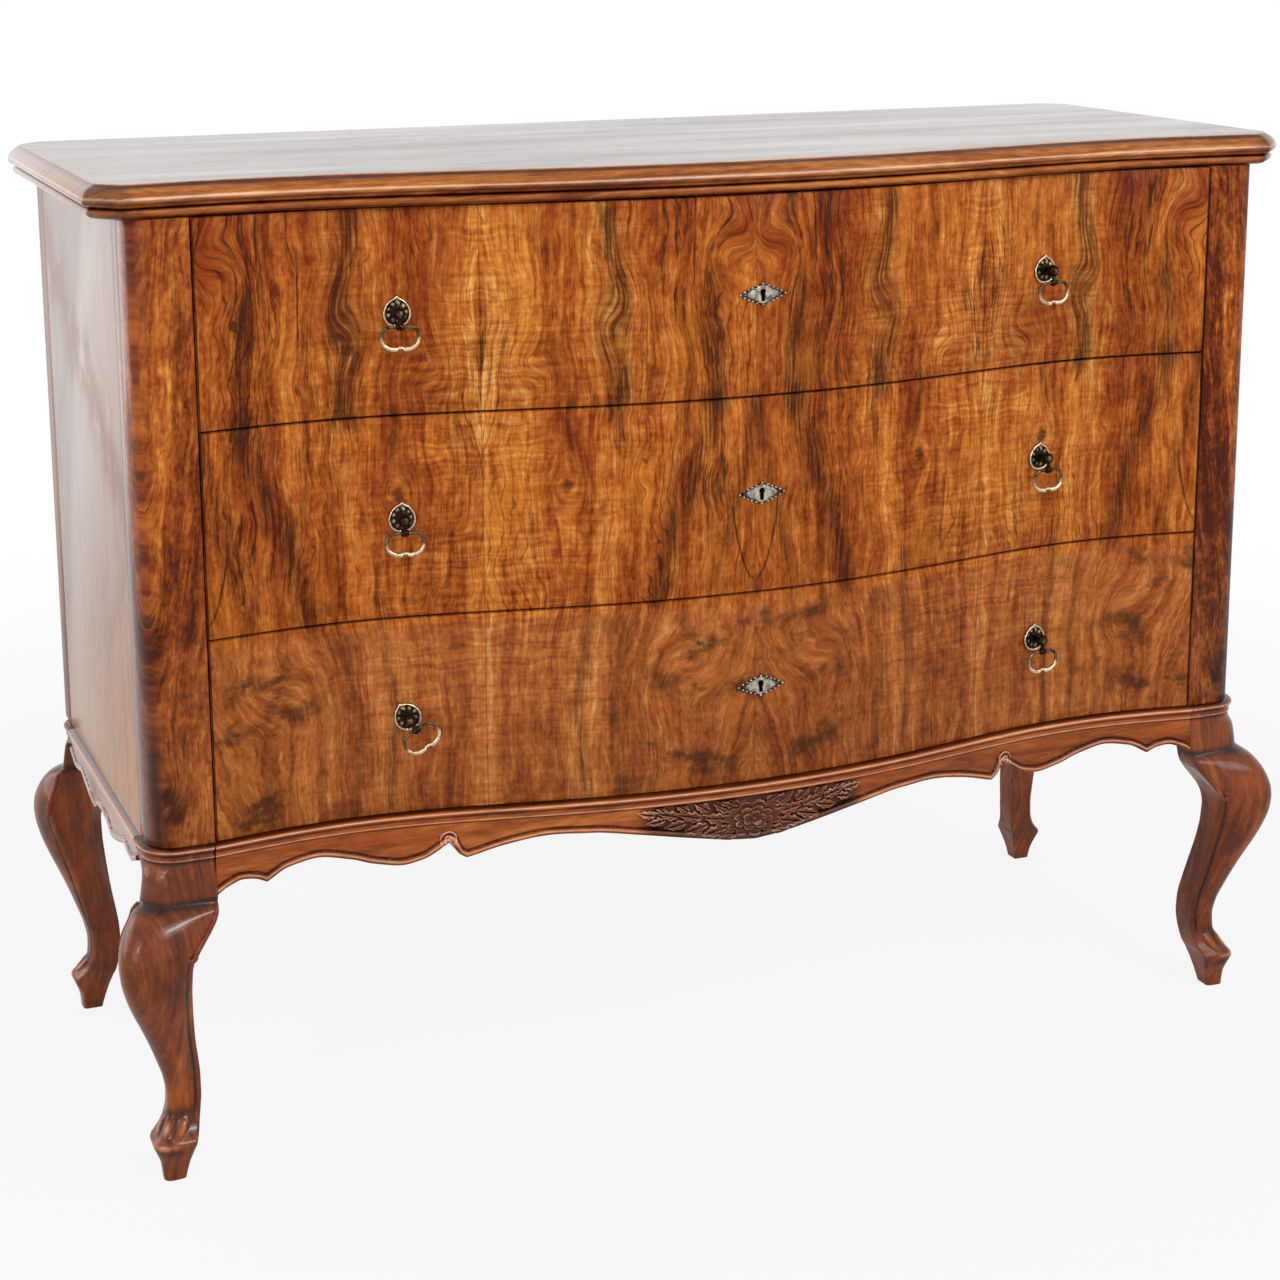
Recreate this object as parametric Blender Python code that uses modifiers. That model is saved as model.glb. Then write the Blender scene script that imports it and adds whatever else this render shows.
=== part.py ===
"""Serpentine chest of three drawers on cabriole legs.

Everything is drawn in metres on a plan whose zero line in Y is the flat face of the
front corner posts. The whole chest hangs on one empty, which puts the middle of its
depth on the origin. X is the width, -Y the front and Z the height.
"""

import bmesh
import bpy
import numpy as np
from math import asin, atan, cos, pi, radians, sin, sqrt
from mathutils import Matrix, Vector


# Case

case_half_width = 0.590
case_depth = 0.440
top_height = 0.940
base_top = 0.329
top_thickness = 0.021
under_top_thickness = 0.010
post_width = 0.060
fit_gap = 0.0003
weld_distance = 0.00001
cut_overrun = 0.004
curve_weight = 1.0
case_bottom = base_top + fit_gap
top_joint_height = top_height - top_thickness
case_top = top_joint_height - under_top_thickness - fit_gap
opening_half_width = case_half_width - post_width

# Serpentine of the front, as three cosine waves across the opening

wave_one = 0.0213
wave_three = 0.0194
wave_five = -0.0035
front_steps = 40

# Corner posts, panels and rails

post_depth = 0.045
post_radius = 0.028
post_arc_steps = 8
rear_post_width = 0.040
rear_post_depth = 0.035
side_panel_thickness = 0.018
back_panel_thickness = 0.006
rail_thickness = 0.018
rail_back = 0.085
dust_board_thickness = 0.010
guide_height = 0.014

# Top board and the moulded board under it

top_side_overhang = 0.030
top_front_overhang = 0.012
top_back_overhang = 0.012
top_cant = 0.028
top_bow_share = 0.85
top_nose_width = 0.0125
top_nose_shares = [
    (0.00, 1.00),
    (0.05, 0.93),
    (0.09, 0.84),
    (0.16, 0.60),
    (0.27, 0.36),
    (0.42, 0.16),
    (0.57, 0.04),
    (0.70, 0.00),
    (0.82, 0.06),
    (0.92, 0.24),
    (1.00, 0.52),
]
under_nose_shares = [
    (0.00, 0.62),
    (0.10, 0.44),
    (0.30, 0.34),
    (0.55, 0.36),
    (0.75, 0.48),
    (0.90, 0.70),
    (1.00, 1.00),
]

# Base: bead and fillet that run along the aprons and round the corner blocks

base_overhang = 0.007
base_mould_height = 0.0135
base_mould_shares = [
    (0.00, 0.57),
    (0.08, 0.83),
    (0.21, 1.00),
    (0.33, 0.95),
    (0.44, 0.72),
    (0.51, 0.54),
    (0.74, 0.51),
    (0.85, 0.66),
    (0.95, 0.56),
    (1.00, 0.43),
]
apron_thickness = 0.024
apron_drop = 0.0585
apron_back_drop = 0.039
apron_step = 0.0085
front_edge_shares = [
    [(0.0, 1.0), (0.05, 0.957), (0.113, 0.863), (0.226, 0.684), (0.311, 0.573), (0.387, 0.547),
     (0.453, 0.624), (0.543, 0.838)],
    [(0.543, 0.838), (0.557, 0.752), (0.570, 0.53)],
    [(0.570, 0.53), (0.592, 0.667), (0.619, 0.803), (0.660, 0.872), (0.708, 0.795), (0.755, 0.658),
     (0.815, 0.547), (0.868, 0.616), (0.909, 0.795)],
    [(0.909, 0.795), (0.930, 0.709), (0.955, 0.675), (0.979, 0.735), (1.010, 0.903)],
]
side_edge_shares = [
    [(0.0, 0.59), (0.127, 0.624), (0.249, 0.76)],
    [(0.249, 0.76), (0.405, 0.692), (0.532, 0.59), (0.647, 0.496)],
    [(0.647, 0.496), (0.740, 0.556), (0.850, 0.581)],
    [(0.850, 0.581), (0.925, 0.496), (1.02, 0.401)],
]

# Cabriole legs with their corner blocks

block_height = 0.051
leg_height = base_top - block_height
knee_reach = 0.045
foot_inset = 0.0155
block_seam_shift = 0.001
block_depth = 0.055
block_flare = 0.0085
leg_edge_round = 0.0022
leg_corner_steps = 6
leg_round_share = 0.33
leg_round_limit = 0.020
block_cove_shares = [(0.0, 0.52), (0.25, 0.52), (0.44, 0.54), (0.60, 0.70), (0.67, 1.0)]
leg_profile_shares = [
    (0.000, 0.21, -0.24, -0.24, 0.02, 0.02),
    (0.030, 0.225, -0.285, -0.285, 0.02, 0.02),
    (0.058, 0.25, -0.33, -0.33, 0.02, 0.02),
    (0.086, 0.31, -0.38, -0.38, 0.02, 0.02),
    (0.108, 0.365, -0.42, -0.42, 0.02, 0.02),
    (0.130, 0.41, -0.47, -0.47, 0.03, 0.02),
    (0.144, 0.37, -0.50, -0.50, 0.04, 0.02),
    (0.158, 0.28, -0.54, -0.54, 0.04, 0.02),
    (0.173, 0.20, -0.57, -0.57, 0.04, 0.02),
    (0.201, 0.10, -0.61, -0.61, 0.04, 0.02),
    (0.237, 0.045, -0.65, -0.65, 0.05, 0.02),
    (0.288, 0.03, -0.68, -0.68, 0.06, 0.02),
    (0.353, 0.09, -0.67, -0.67, 0.08, 0.03),
    (0.424, 0.23, -0.62, -0.62, 0.13, 0.06),
    (0.496, 0.39, -0.56, -0.56, 0.18, 0.11),
    (0.568, 0.57, -0.52, -0.52, 0.25, 0.21),
    (0.640, 0.76, -0.49, -0.48, 0.31, 0.30),
    (0.705, 0.90, -0.47, -0.44, 0.33, 0.34),
    (0.763, 0.98, -0.47, -0.40, 0.30, 0.34),
    (0.806, 1.00, -0.50, -0.38, 0.25, 0.30),
    (0.842, 0.985, -0.58, -0.36, 0.22, 0.22),
    (0.878, 0.93, -0.73, -0.35, 0.20, 0.14),
    (0.914, 0.84, -0.91, -0.32, 0.20, 0.08),
    (0.942, 0.74, -1.03, -0.30, 0.17, 0.06),
    (0.968, 0.61, -1.09, -0.29, 0.09, 0.04),
    (0.990, 0.42, -1.11, -0.29, 0.03, 0.03),
]

# Drawers

drawer_names = ("lower", "middle", "upper")
front_gap = 0.0018
front_side_gap = 0.0016
front_thickness = 0.022
side_clearance = 0.0035
drawer_side_thickness = 0.012
drawer_side_drop = 0.0431
drawer_back_space = 0.040
drawer_back_thickness = 0.010
drawer_bottom_thickness = 0.005
drawer_bottom_lift = 0.008
groove_depth = 0.005
groove_gap = 0.0003

# Pulls: pointed plate, ball post with its stud and hanging eye, and a drop ring

pull_spacing_share = 0.6425
pull_turn = {("lower", "left"): radians(-32)}
plate_width = 0.0265
plate_height = 0.030
plate_thickness = 0.0016
plate_gap = 0.0005
plate_centre_lift = 0.0005
plate_outline_shares = [
    (0.00, 0.50), (0.09, 0.43), (0.25, 0.35), (0.40, 0.20), (0.48, 0.04), (0.50, -0.08),
    (0.47, -0.22), (0.38, -0.36), (0.22, -0.46), (0.00, -0.50),
]
ball_radius = 0.0060
ball_reach = 0.0145
ball_steps = 6
neck_radius = 0.0032
collar_radius = 0.0062
collar_thickness = 0.0016
eye_drop = 0.0115
eye_reach = 0.0165
eye_radius = 0.0036
eye_half_length = 0.0036
stem_radius = 0.0024
stud_radius = 0.0020
stud_hole_radius = 0.0024
nut_radius = 0.0050
nut_thickness = 0.0032
nut_gap = 0.0012
stud_end = 0.0020
ring_half_width = 0.0175
ring_drop = 0.0210
ring_wire = 0.0015
ring_hole_gap = 0.0003
ring_outline_shares = [
    (0.38, 0.00, 1.00), (0.58, -0.01, 1.00), (0.78, -0.07, 1.10), (0.93, -0.20, 1.15),
    (1.00, -0.38, 1.15), (0.99, -0.56, 1.20), (0.90, -0.75, 1.30), (0.72, -0.89, 1.50),
    (0.50, -0.97, 1.65), (0.28, -0.99, 1.70), (0.11, -0.93, 1.45),
]
turned_steps = 14
hole_steps = 12

# Escutcheons and locks

key_x = 0.006
key_lift = 0.0015
escutcheon_half_width = 0.0245
escutcheon_half_height = 0.0105
escutcheon_thickness = 0.0012
escutcheon_lobes = 20
escutcheon_lobe_depth = 0.0008
key_eye_radius = 0.0026
key_slot_half_width = 0.0017
key_slot_drop = 0.0066
key_eye_lift = 0.0025
key_steps = 10
lock_half_width = 0.030
lock_below_key = 0.022
lock_above_key = 0.024
lock_thickness = 0.012
lock_recess = 0.003
bolt_half_width = 0.007
bolt_thickness = 0.003
bolt_setback = 0.0075
bolt_tail = 0.016
bolt_tip_gap = 0.0008
bolt_slot_gap = 0.0004
bolt_travel = 0.008
mortise_spare = 0.0015

# Turned bodies are drawn upright and laid along these

along_y = Matrix.Rotation(pi / 2, 4, "X")
along_x = Matrix.Rotation(pi / 2, 4, "Y")

# Derived places

row_pitch = (case_top - case_bottom) / 3
drawer_side_height = row_pitch - drawer_side_drop
drawer_end = case_depth - drawer_back_space
pull_half_spacing = pull_spacing_share * opening_half_width
foot_x = case_half_width + base_overhang - foot_inset
foot_front_y = foot_inset - base_overhang
foot_back_y = case_depth + base_overhang - foot_inset
bow_reach = wave_one + wave_three + wave_five
front_reach = -bow_reach - base_overhang
back_reach = foot_back_y + knee_reach
depth_middle = (front_reach + back_reach) / 2
rail_front_gap = front_thickness + fit_gap
block_inner_x = opening_half_width + block_seam_shift
block_width = case_half_width + base_overhang - block_inner_x
apron_half_length = (case_depth / 2) + base_overhang - block_depth


def wave(x, half):
    """Serpentine line: how far the front lies behind the posts' face at x."""
    turn = pi * x / (2 * half)
    return -(wave_one * cos(turn) + wave_three * cos(3 * turn) + wave_five * cos(5 * turn))


def serpentine(x):
    return wave(x, opening_half_width)


def serpentine_angle(x):
    """Turn of the front's tangent at x, about Z."""
    step = fit_gap
    return atan((serpentine(x + step) - serpentine(x - step)) / (2 * step))


def smooth(table, at):
    """Monotone cubic through (place, value) pairs: it keeps peaks where the table has them."""
    places = np.array([row[0] for row in table], float)
    values = np.array([row[1] for row in table], float)
    steps = np.diff(places)
    slopes = np.diff(values) / steps
    tangents = np.zeros(len(places))
    for index in range(1, len(places) - 1):
        before, after = slopes[index - 1], slopes[index]
        if before * after > 0:
            tangents[index] = 2 * before * after / (before + after)
    tangents[0], tangents[-1] = slopes[0], slopes[-1]
    index = int(np.clip(np.searchsorted(places, at) - 1, 0, len(steps) - 1))
    t = (at - places[index]) / steps[index]
    low = values[index] * (2 * t**3 - 3 * t**2 + 1) + values[index + 1] * (3 * t**2 - 2 * t**3)
    bend = tangents[index] * (t**3 - 2 * t**2 + t) + tangents[index + 1] * (t**3 - t**2)
    return float(low + steps[index] * bend)


def spread(low, high, count):
    return [float(value) for value in np.linspace(low, high, count)]


# Scene, materials and small tools

for old in list(bpy.data.objects):
    bpy.data.objects.remove(old)

chest = bpy.data.collections.new("serpentine_chest_of_drawers")
cutters = bpy.data.collections.new("cutters")
bpy.context.scene.collection.children.link(chest)
bpy.context.scene.collection.children.link(cutters)

chest_origin = bpy.data.objects.new("chest_origin", None)
chest_origin.location = (0, -depth_middle, 0)
chest.objects.link(chest_origin)


def material(name, colour, roughness, metallic=0.0):
    made = bpy.data.materials.new(name)
    made.use_nodes = True
    shader = made.node_tree.nodes["Principled BSDF"]
    shader.inputs["Base Color"].default_value = (*colour, 1)
    shader.inputs["Roughness"].default_value = roughness
    shader.inputs["Metallic"].default_value = metallic
    return made


veneer = material("figured_walnut_veneer", (0.40, 0.15, 0.045), 0.22)
walnut = material("solid_walnut", (0.20, 0.065, 0.025), 0.25)
edge_walnut = material("moulded_walnut", (0.33, 0.13, 0.04), 0.25)
poplar = material("plain_poplar", (0.55, 0.38, 0.22), 0.6)
brass = material("old_brass", (0.55, 0.40, 0.20), 0.3, 1.0)
dark_bronze = material("dark_bronze", (0.05, 0.04, 0.035), 0.35, 1.0)
nickel = material("worn_nickel", (0.55, 0.53, 0.48), 0.35, 1.0)
iron = material("lock_iron", (0.16, 0.15, 0.14), 0.5, 1.0)


def add_object(name, mesh, home=chest):
    made = bpy.data.objects.new(name, mesh)
    home.objects.link(made)
    made.parent = chest_origin
    return made


def dress(piece, finish):
    piece.data.materials.clear()
    piece.data.materials.append(finish)
    return piece


def mesh_of(guide):
    """Closed mesh of a curve, in the plan's own frame, with its caps welded on."""
    bpy.context.scene.collection.objects.link(guide)
    bpy.context.view_layer.update()
    shown = guide.evaluated_get(bpy.context.evaluated_depsgraph_get())
    mesh = bpy.data.meshes.new_from_object(shown)
    mesh.transform(guide.matrix_world)
    shape = bmesh.new()
    shape.from_mesh(mesh)
    bmesh.ops.remove_doubles(shape, verts=shape.verts, dist=weld_distance)
    bmesh.ops.recalc_face_normals(shape, faces=shape.faces)
    shape.to_mesh(mesh)
    shape.free()
    bpy.data.objects.remove(guide)
    return mesh


turn_of_axis = {"X": (pi / 2, 0, pi / 2), "Y": (pi / 2, 0, 0), "Z": (0, 0, 0)}
way_of_axis = {"X": (1, 0, 0), "Y": (0, -1, 0), "Z": (0, 0, 1)}


def prism_mesh(name, outline, low, high, axis="Z"):
    """Flat outline drawn square to an axis and thickened along it from low to high."""
    curve = bpy.data.curves.new(name, "CURVE")
    curve.dimensions = "2D"
    curve.fill_mode = "BOTH"
    curve.extrude = (high - low) / 2
    line = curve.splines.new("POLY")
    line.points.add(len(outline) - 1)
    for point, (across, up) in zip(line.points, outline):
        point.co = (across, up, 0, curve_weight)
    line.use_cyclic_u = True
    guide = bpy.data.objects.new(name, curve)
    guide.rotation_euler = turn_of_axis[axis]
    sign = -1 if axis == "Y" else 1
    guide.location = Vector(way_of_axis[axis]) * (sign * (low + high) / 2)
    return mesh_of(guide)


def prism(name, outline, low, high, axis="Z", home=chest):
    return add_object(name, prism_mesh(name, outline, low, high, axis), home)


def box_mesh(name, low, high):
    shape = bmesh.new()
    bmesh.ops.create_cube(shape, size=1)
    size = Vector(high) - Vector(low)
    middle = (Vector(high) + Vector(low)) / 2
    bmesh.ops.scale(shape, vec=size, verts=shape.verts)
    bmesh.ops.translate(shape, vec=middle, verts=shape.verts)
    mesh = bpy.data.meshes.new(name)
    shape.to_mesh(mesh)
    shape.free()
    return mesh


def box(name, low, high, home=chest):
    return add_object(name, box_mesh(name, low, high), home)


def loft_mesh(name, sections):
    """Skin over closed sections with equal point counts, capped at both ends."""
    shape = bmesh.new()
    loops = []
    for section in sections:
        verts = [shape.verts.new(point) for point in section]
        loops.append(verts)
    count = len(loops[0])
    for lower, upper in zip(loops, loops[1:]):
        for index in range(count):
            following = (index + 1) % count
            shape.faces.new((lower[index], lower[following], upper[following], upper[index]))
    shape.faces.new(list(reversed(loops[0])))
    shape.faces.new(loops[-1])
    bmesh.ops.recalc_face_normals(shape, faces=shape.faces)
    mesh = bpy.data.meshes.new(name)
    shape.to_mesh(mesh)
    shape.free()
    return mesh


def turned_mesh(name, profile, steps=turned_steps):
    """Body turned about the Z axis from (radius, height) pairs, top to bottom."""
    mesh = bpy.data.meshes.new(name)
    shape = bmesh.new()
    verts = [shape.verts.new((radius, 0, height)) for radius, height in profile]
    for first, second in zip(verts, verts[1:]):
        shape.edges.new((first, second))
    shape.to_mesh(mesh)
    shape.free()
    guide = bpy.data.objects.new(name, mesh)
    screw = guide.modifiers.new("turn", "SCREW")
    screw.steps = steps
    screw.render_steps = steps
    screw.use_merge_vertices = True
    screw.merge_threshold = weld_distance
    return mesh_of(guide)


def cut(piece, cutter, operation="DIFFERENCE"):
    """Boolean with a hidden cutter."""
    cutter.hide_render = True
    cutter.display_type = "WIRE"
    step = piece.modifiers.new(cutter.name, "BOOLEAN")
    step.operation = operation
    step.solver = "EXACT"
    step.object = cutter
    return piece


def round_shading(piece, angle=radians(35)):
    piece.data.shade_smooth()
    piece.data.set_sharp_from_angle(angle=angle)
    return piece


def mirrored(outline):
    """The same outline on the other side of X = 0, still turning the same way."""
    return [(-x, y) for x, y in reversed(outline)]


def set_origin(piece, place):
    piece.data.transform(Matrix.Translation(-Vector(place)))
    piece.location = place
    return piece


def carry(piece, holder):
    """Hang a piece on an empty without moving it."""
    piece.location = piece.location - holder.location
    piece.parent = holder
    return piece


# Corner posts


def front_post_outline():
    centre_x = case_half_width - post_radius
    corner = [
        (centre_x + post_radius * sin(turn), post_radius - post_radius * cos(turn))
        for turn in spread(0, pi / 2, post_arc_steps)
    ]
    inner = opening_half_width
    return [(inner, post_depth), (inner, 0)] + corner + [(case_half_width, post_depth)]


def make_posts():
    right = front_post_outline()
    for side, outline in (("right", right), ("left", mirrored(right))):
        post = prism(f"front_post_{side}", outline, case_bottom, case_top)
        round_shading(dress(post, veneer))
    rear_front = case_depth - rear_post_depth
    rear_inner = case_half_width - rear_post_width
    for side, sign in (("right", 1), ("left", -1)):
        ends = sorted((sign * rear_inner, sign * case_half_width))
        low = (ends[0], rear_front, case_bottom)
        high = (ends[1], case_depth, case_top)
        dress(box(f"rear_post_{side}", low, high), walnut)


# Panels, rails and runners


def make_panels():
    inner = case_half_width - side_panel_thickness
    front = post_depth + fit_gap
    back = case_depth - rear_post_depth - fit_gap
    for side, sign in (("right", 1), ("left", -1)):
        ends = sorted((sign * inner, sign * case_half_width))
        low = (ends[0], front, case_bottom)
        high = (ends[1], back, case_top)
        dress(box(f"side_panel_{side}", low, high), veneer)
    half = case_half_width - rear_post_width - fit_gap
    low = (-half, case_depth - back_panel_thickness, case_bottom)
    high = (half, case_depth, case_top)
    dress(box("back_panel", low, high), poplar)


def front_band(inset, back, half):
    """Plan outline of a piece that follows the serpentine in front and is straight behind."""
    line = [(x, serpentine(x) + inset) for x in spread(-half, half, front_steps)]
    return line + [(half, back), (-half, back)]


rail_heights = {
    "bottom_rail": case_bottom,
    "lower_rail": case_bottom + row_pitch - rail_thickness / 2,
    "upper_rail": case_bottom + 2 * row_pitch - rail_thickness / 2,
    "top_rail": case_top - rail_thickness,
}


def bolt_box(grow, low, high):
    """Space of a lock bolt, grown all round and between two heights."""
    face = serpentine(0) + bolt_setback + front_thickness
    low_corner = (key_x - bolt_half_width - grow, face - bolt_thickness - grow, low)
    high_corner = (key_x + bolt_half_width + grow, face + grow, high)
    return low_corner, high_corner


def make_rails():
    half = opening_half_width - fit_gap
    outline = front_band(rail_front_gap, rail_back, half)
    for name, low in rail_heights.items():
        rail = prism(name, outline, low, low + rail_thickness)
        dress(rail, walnut)
        if name != "bottom_rail":
            top = low + bolt_travel + mortise_spare
            corners = bolt_box(bolt_slot_gap, low - cut_overrun, top)
            cut(rail, box(f"{name}_mortise", *corners, home=cutters))


def make_dust_boards():
    """Boards behind the rails: the drawers run on them between the raised guides."""
    outer = case_half_width - side_panel_thickness - fit_gap
    guide = opening_half_width
    front = rail_back + fit_gap
    back = case_depth - rear_post_depth - fit_gap
    for level in ("bottom", "lower", "upper"):
        top = rail_heights[f"{level}_rail"] + rail_thickness
        low = top - dust_board_thickness
        right = [
            (outer, low),
            (outer, top + guide_height),
            (guide, top + guide_height),
            (guide, top),
        ]
        outline = right + mirrored(right)
        board = prism(f"{level}_dust_board", outline, front, back, axis="Y")
        dress(board, poplar)


# Top


def top_outline(inset):
    """Plan outline of the top: serpentine front, straight sides, canted corners."""
    half = case_half_width + top_side_overhang - inset
    cant = top_cant - inset * (2 - sqrt(2))
    wave_half = case_half_width + top_side_overhang - top_cant
    front_half = half - cant
    front_y = inset - top_front_overhang
    back_y = case_depth + top_back_overhang - inset
    line = []
    for x in spread(-front_half, front_half, front_steps):
        reach = wave(min(abs(x), wave_half), wave_half)
        line.append((x, front_y + top_bow_share * reach))
    corners = [
        (half, front_y + cant),
        (half, back_y - cant),
        (front_half, back_y),
        (-front_half, back_y),
        (-half, back_y - cant),
        (-half, front_y + cant),
    ]
    return line + corners


def moulded_board(name, shares, low, high, finish):
    sections = []
    for drop_share, inset_share in reversed(shares):
        height = high - drop_share * (high - low)
        outline = top_outline(inset_share * top_nose_width)
        sections.append([(x, y, height) for x, y in outline])
    board = add_object(name, loft_mesh(name, sections))
    return round_shading(dress(board, finish))


def make_top():
    moulded_board("top_board", top_nose_shares, top_joint_height, top_height, edge_walnut)
    low = case_top + fit_gap
    high = top_joint_height - fit_gap
    moulded_board("under_top_board", under_nose_shares, low, high, edge_walnut)


# Base


def base_overhang_at(height):
    """How far the base stands proud of the case at a height, on aprons."""
    drop = base_top - height
    if drop >= base_mould_height:
        return base_mould_shares[-1][1] * base_overhang
    return base_overhang * smooth(base_mould_shares, drop / base_mould_height)


mould_heights = [base_top - share * base_mould_height for share, _ in base_mould_shares]


def scallop(edge_shares, half, drop):
    """Lower edge of an apron from the middle to one end: (along, height) pairs."""
    points = []
    for part in edge_shares:
        low, high = part[0][0] * half, part[-1][0] * half
        count = max(3, round((high - low) / apron_step) + 1)
        for along in spread(low, high, count):
            share = smooth(part, along / half)
            points.append((along, base_top - share * drop))
        points.pop()
    last_along, last_share = edge_shares[-1][-1]
    points.append((last_along * half, base_top - last_share * drop))
    return points


def scallop_cutter(name, edge, middle, low, high, axis):
    """Solid below a mirrored lower edge, to saw an apron's outline with."""
    floor = base_top - 2 * apron_drop
    right = [(middle + along, height) for along, height in edge]
    left = [(middle - along, height) for along, height in reversed(edge[1:])]
    end = edge[-1][0] + cut_overrun
    ends = [(middle + end, edge[-1][1]), (middle + end, floor), (middle - end, floor),
            (middle - end, edge[-1][1])]
    return prism(name, left + right + ends, low, high, axis, home=cutters)


def make_front_apron():
    half = block_inner_x - fit_gap
    xs = spread(-half, half, front_steps)
    heights = [base_top - apron_drop - fit_gap] + list(reversed(mould_heights))
    sections = []
    for height in heights:
        overhang = base_overhang_at(height)
        front = [(x, serpentine(x) - overhang, height) for x in xs]
        back = [(x, serpentine(x) + apron_thickness, height) for x in reversed(xs)]
        sections.append(front + back)
    apron = add_object("front_apron", loft_mesh("front_apron", sections))
    round_shading(dress(apron, walnut))
    edge = scallop(front_edge_shares, opening_half_width, apron_drop)
    low = front_reach - cut_overrun
    high = serpentine(opening_half_width * 0.75) + apron_thickness + bow_reach
    cut(apron, scallop_cutter("front_scallop", edge, 0, low, high, "Y"))


def make_side_aprons():
    middle = case_depth / 2
    front = middle - apron_half_length + fit_gap
    back = middle + apron_half_length - fit_gap
    heights = [base_top - apron_drop] + list(reversed(mould_heights))
    edge = scallop(side_edge_shares, apron_half_length, apron_drop)
    inner = case_half_width - side_panel_thickness
    for side, sign in (("right", 1), ("left", -1)):
        sections = []
        for height in heights:
            outer = case_half_width + base_overhang_at(height)
            plan = [(inner, front), (outer, front), (outer, back), (inner, back)]
            sections.append([(sign * x, y, height) for x, y in plan])
        name = f"side_apron_{side}"
        apron = add_object(name, loft_mesh(name, sections))
        round_shading(dress(apron, walnut))
        ends = sorted((sign * (inner - cut_overrun), sign * (outer + cut_overrun + base_overhang)))
        cutter = scallop_cutter(f"{name}_scallop", edge, middle, ends[0], ends[1], "X")
        cut(apron, cutter)


def make_back_apron():
    half = block_inner_x - fit_gap
    back = case_depth
    low = (-half, back - apron_thickness, base_top - apron_back_drop)
    dress(box("back_apron", low, (half, back, base_top)), walnut)


def leg_section(out_x, out_y, in_x, in_y, radius, slant=0.0, chamfer=leg_edge_round / 2):
    """Square section with a round outer corner, faces that slant inwards and a cut inner corner."""
    ease = leg_edge_round
    arc = [
        (out_x - radius + radius * cos(turn), out_y - radius + radius * sin(turn))
        for turn in spread(0, pi / 2, leg_corner_steps)
    ]
    side_y = [(in_x + ease, out_y - slant), (in_x, out_y - slant - ease)]
    inner = [(in_x, in_y + chamfer), (in_x + chamfer, in_y)]
    side_x = [(out_x - slant - ease, in_y), (out_x - slant, in_y + ease)]
    return arc + side_y + inner + side_x


def leg_mesh(name, sign_x, foot_y, sign_y):
    """Cabriole leg and corner block, lofted from the foot up."""
    behind = sign_y > 0
    block_in_x = foot_inset - block_width
    sections = []
    for row in leg_profile_shares:
        height_share = row[0]
        out, in_x, in_y, slant, chamfer = [share * knee_reach for share in row[1:]]
        radius = min(leg_round_share * (out - in_x), leg_round_limit)
        plan = leg_section(out, out, in_x, in_y, radius, slant, max(chamfer, leg_edge_round / 2))
        sections.append((height_share * leg_height, plan))
    rise = base_top - base_mould_height - leg_height
    steps = []
    for height_share, depth_share in block_cove_shares:
        height = leg_height + height_share * block_height
        fall = min(1.0, (height - leg_height) / rise)
        flare = block_flare + (base_overhang_at(leg_height) - block_flare) * fall
        steps.append((height, flare, foot_inset - depth_share * block_depth))
    for height in reversed(mould_heights):
        steps.append((height, base_overhang_at(height), foot_inset - block_depth))
    for height, overhang, in_y in steps:
        out_x = foot_inset - base_overhang + overhang
        out_y = foot_inset - base_overhang + (0 if behind else overhang)
        corner = min(post_radius + (0 if behind else overhang), out_y - in_y - 2 * leg_edge_round)
        sections.append((height, leg_section(out_x, out_y, block_in_x, in_y, corner)))
    placed = [
        [(sign_x * (foot_x + u), foot_y + sign_y * v, height) for u, v in plan]
        for height, plan in sections
    ]
    return loft_mesh(name, placed)


def make_legs():
    for side, sign_x in (("right", 1), ("left", -1)):
        for end, foot_y, sign_y in (("front", foot_front_y, -1), ("back", foot_back_y, 1)):
            name = f"{end}_leg_{side}"
            leg = add_object(name, leg_mesh(name, sign_x, foot_y, sign_y))
            round_shading(dress(leg, walnut), radians(40))


# Drawers


def key_outline(grow, height):
    """Keyhole: a round eye over a slot."""
    eye_z = height + key_eye_lift
    radius = key_eye_radius + grow
    half = key_slot_half_width + grow
    start = atan(half / sqrt(radius**2 - half**2))
    eye = [
        (key_x + radius * sin(turn), eye_z - radius * cos(turn))
        for turn in spread(start, 2 * pi - start, key_steps)
    ]
    foot_z = height - key_slot_drop
    return eye + [(key_x - half, foot_z), (key_x + half, foot_z)]


def escutcheon_outline(height):
    """Lozenge with a lobed rim."""
    count = escutcheon_lobes * 2
    points = []
    for index in range(count):
        turn = 2 * pi * index / count
        across, up = cos(turn), sin(turn)
        reach = 1 / (abs(across) ** 1.15 + abs(up) ** 1.15) ** (1 / 1.15)
        lobe = escutcheon_lobe_depth * (index % 2)
        points.append((key_x + across * (reach * escutcheon_half_width - lobe),
                       height + up * (reach * escutcheon_half_height - lobe)))
    return points


def pull_frame(sign, height):
    """Frame of a pull: on the front's face, X along the face, Y into the drawer."""
    x = sign * pull_half_spacing
    return Matrix.Translation((x, serpentine(x), height)) @ Matrix.Rotation(serpentine_angle(x), 4, "Z")


def plate_mesh(name):
    right = [(u * plate_width, v * plate_height + plate_centre_lift) for u, v in plate_outline_shares]
    left = [(-u, v) for u, v in reversed(right[1:-1])]
    return prism_mesh(name, right + left, -plate_gap - plate_thickness, -plate_gap, axis="Y")


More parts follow.
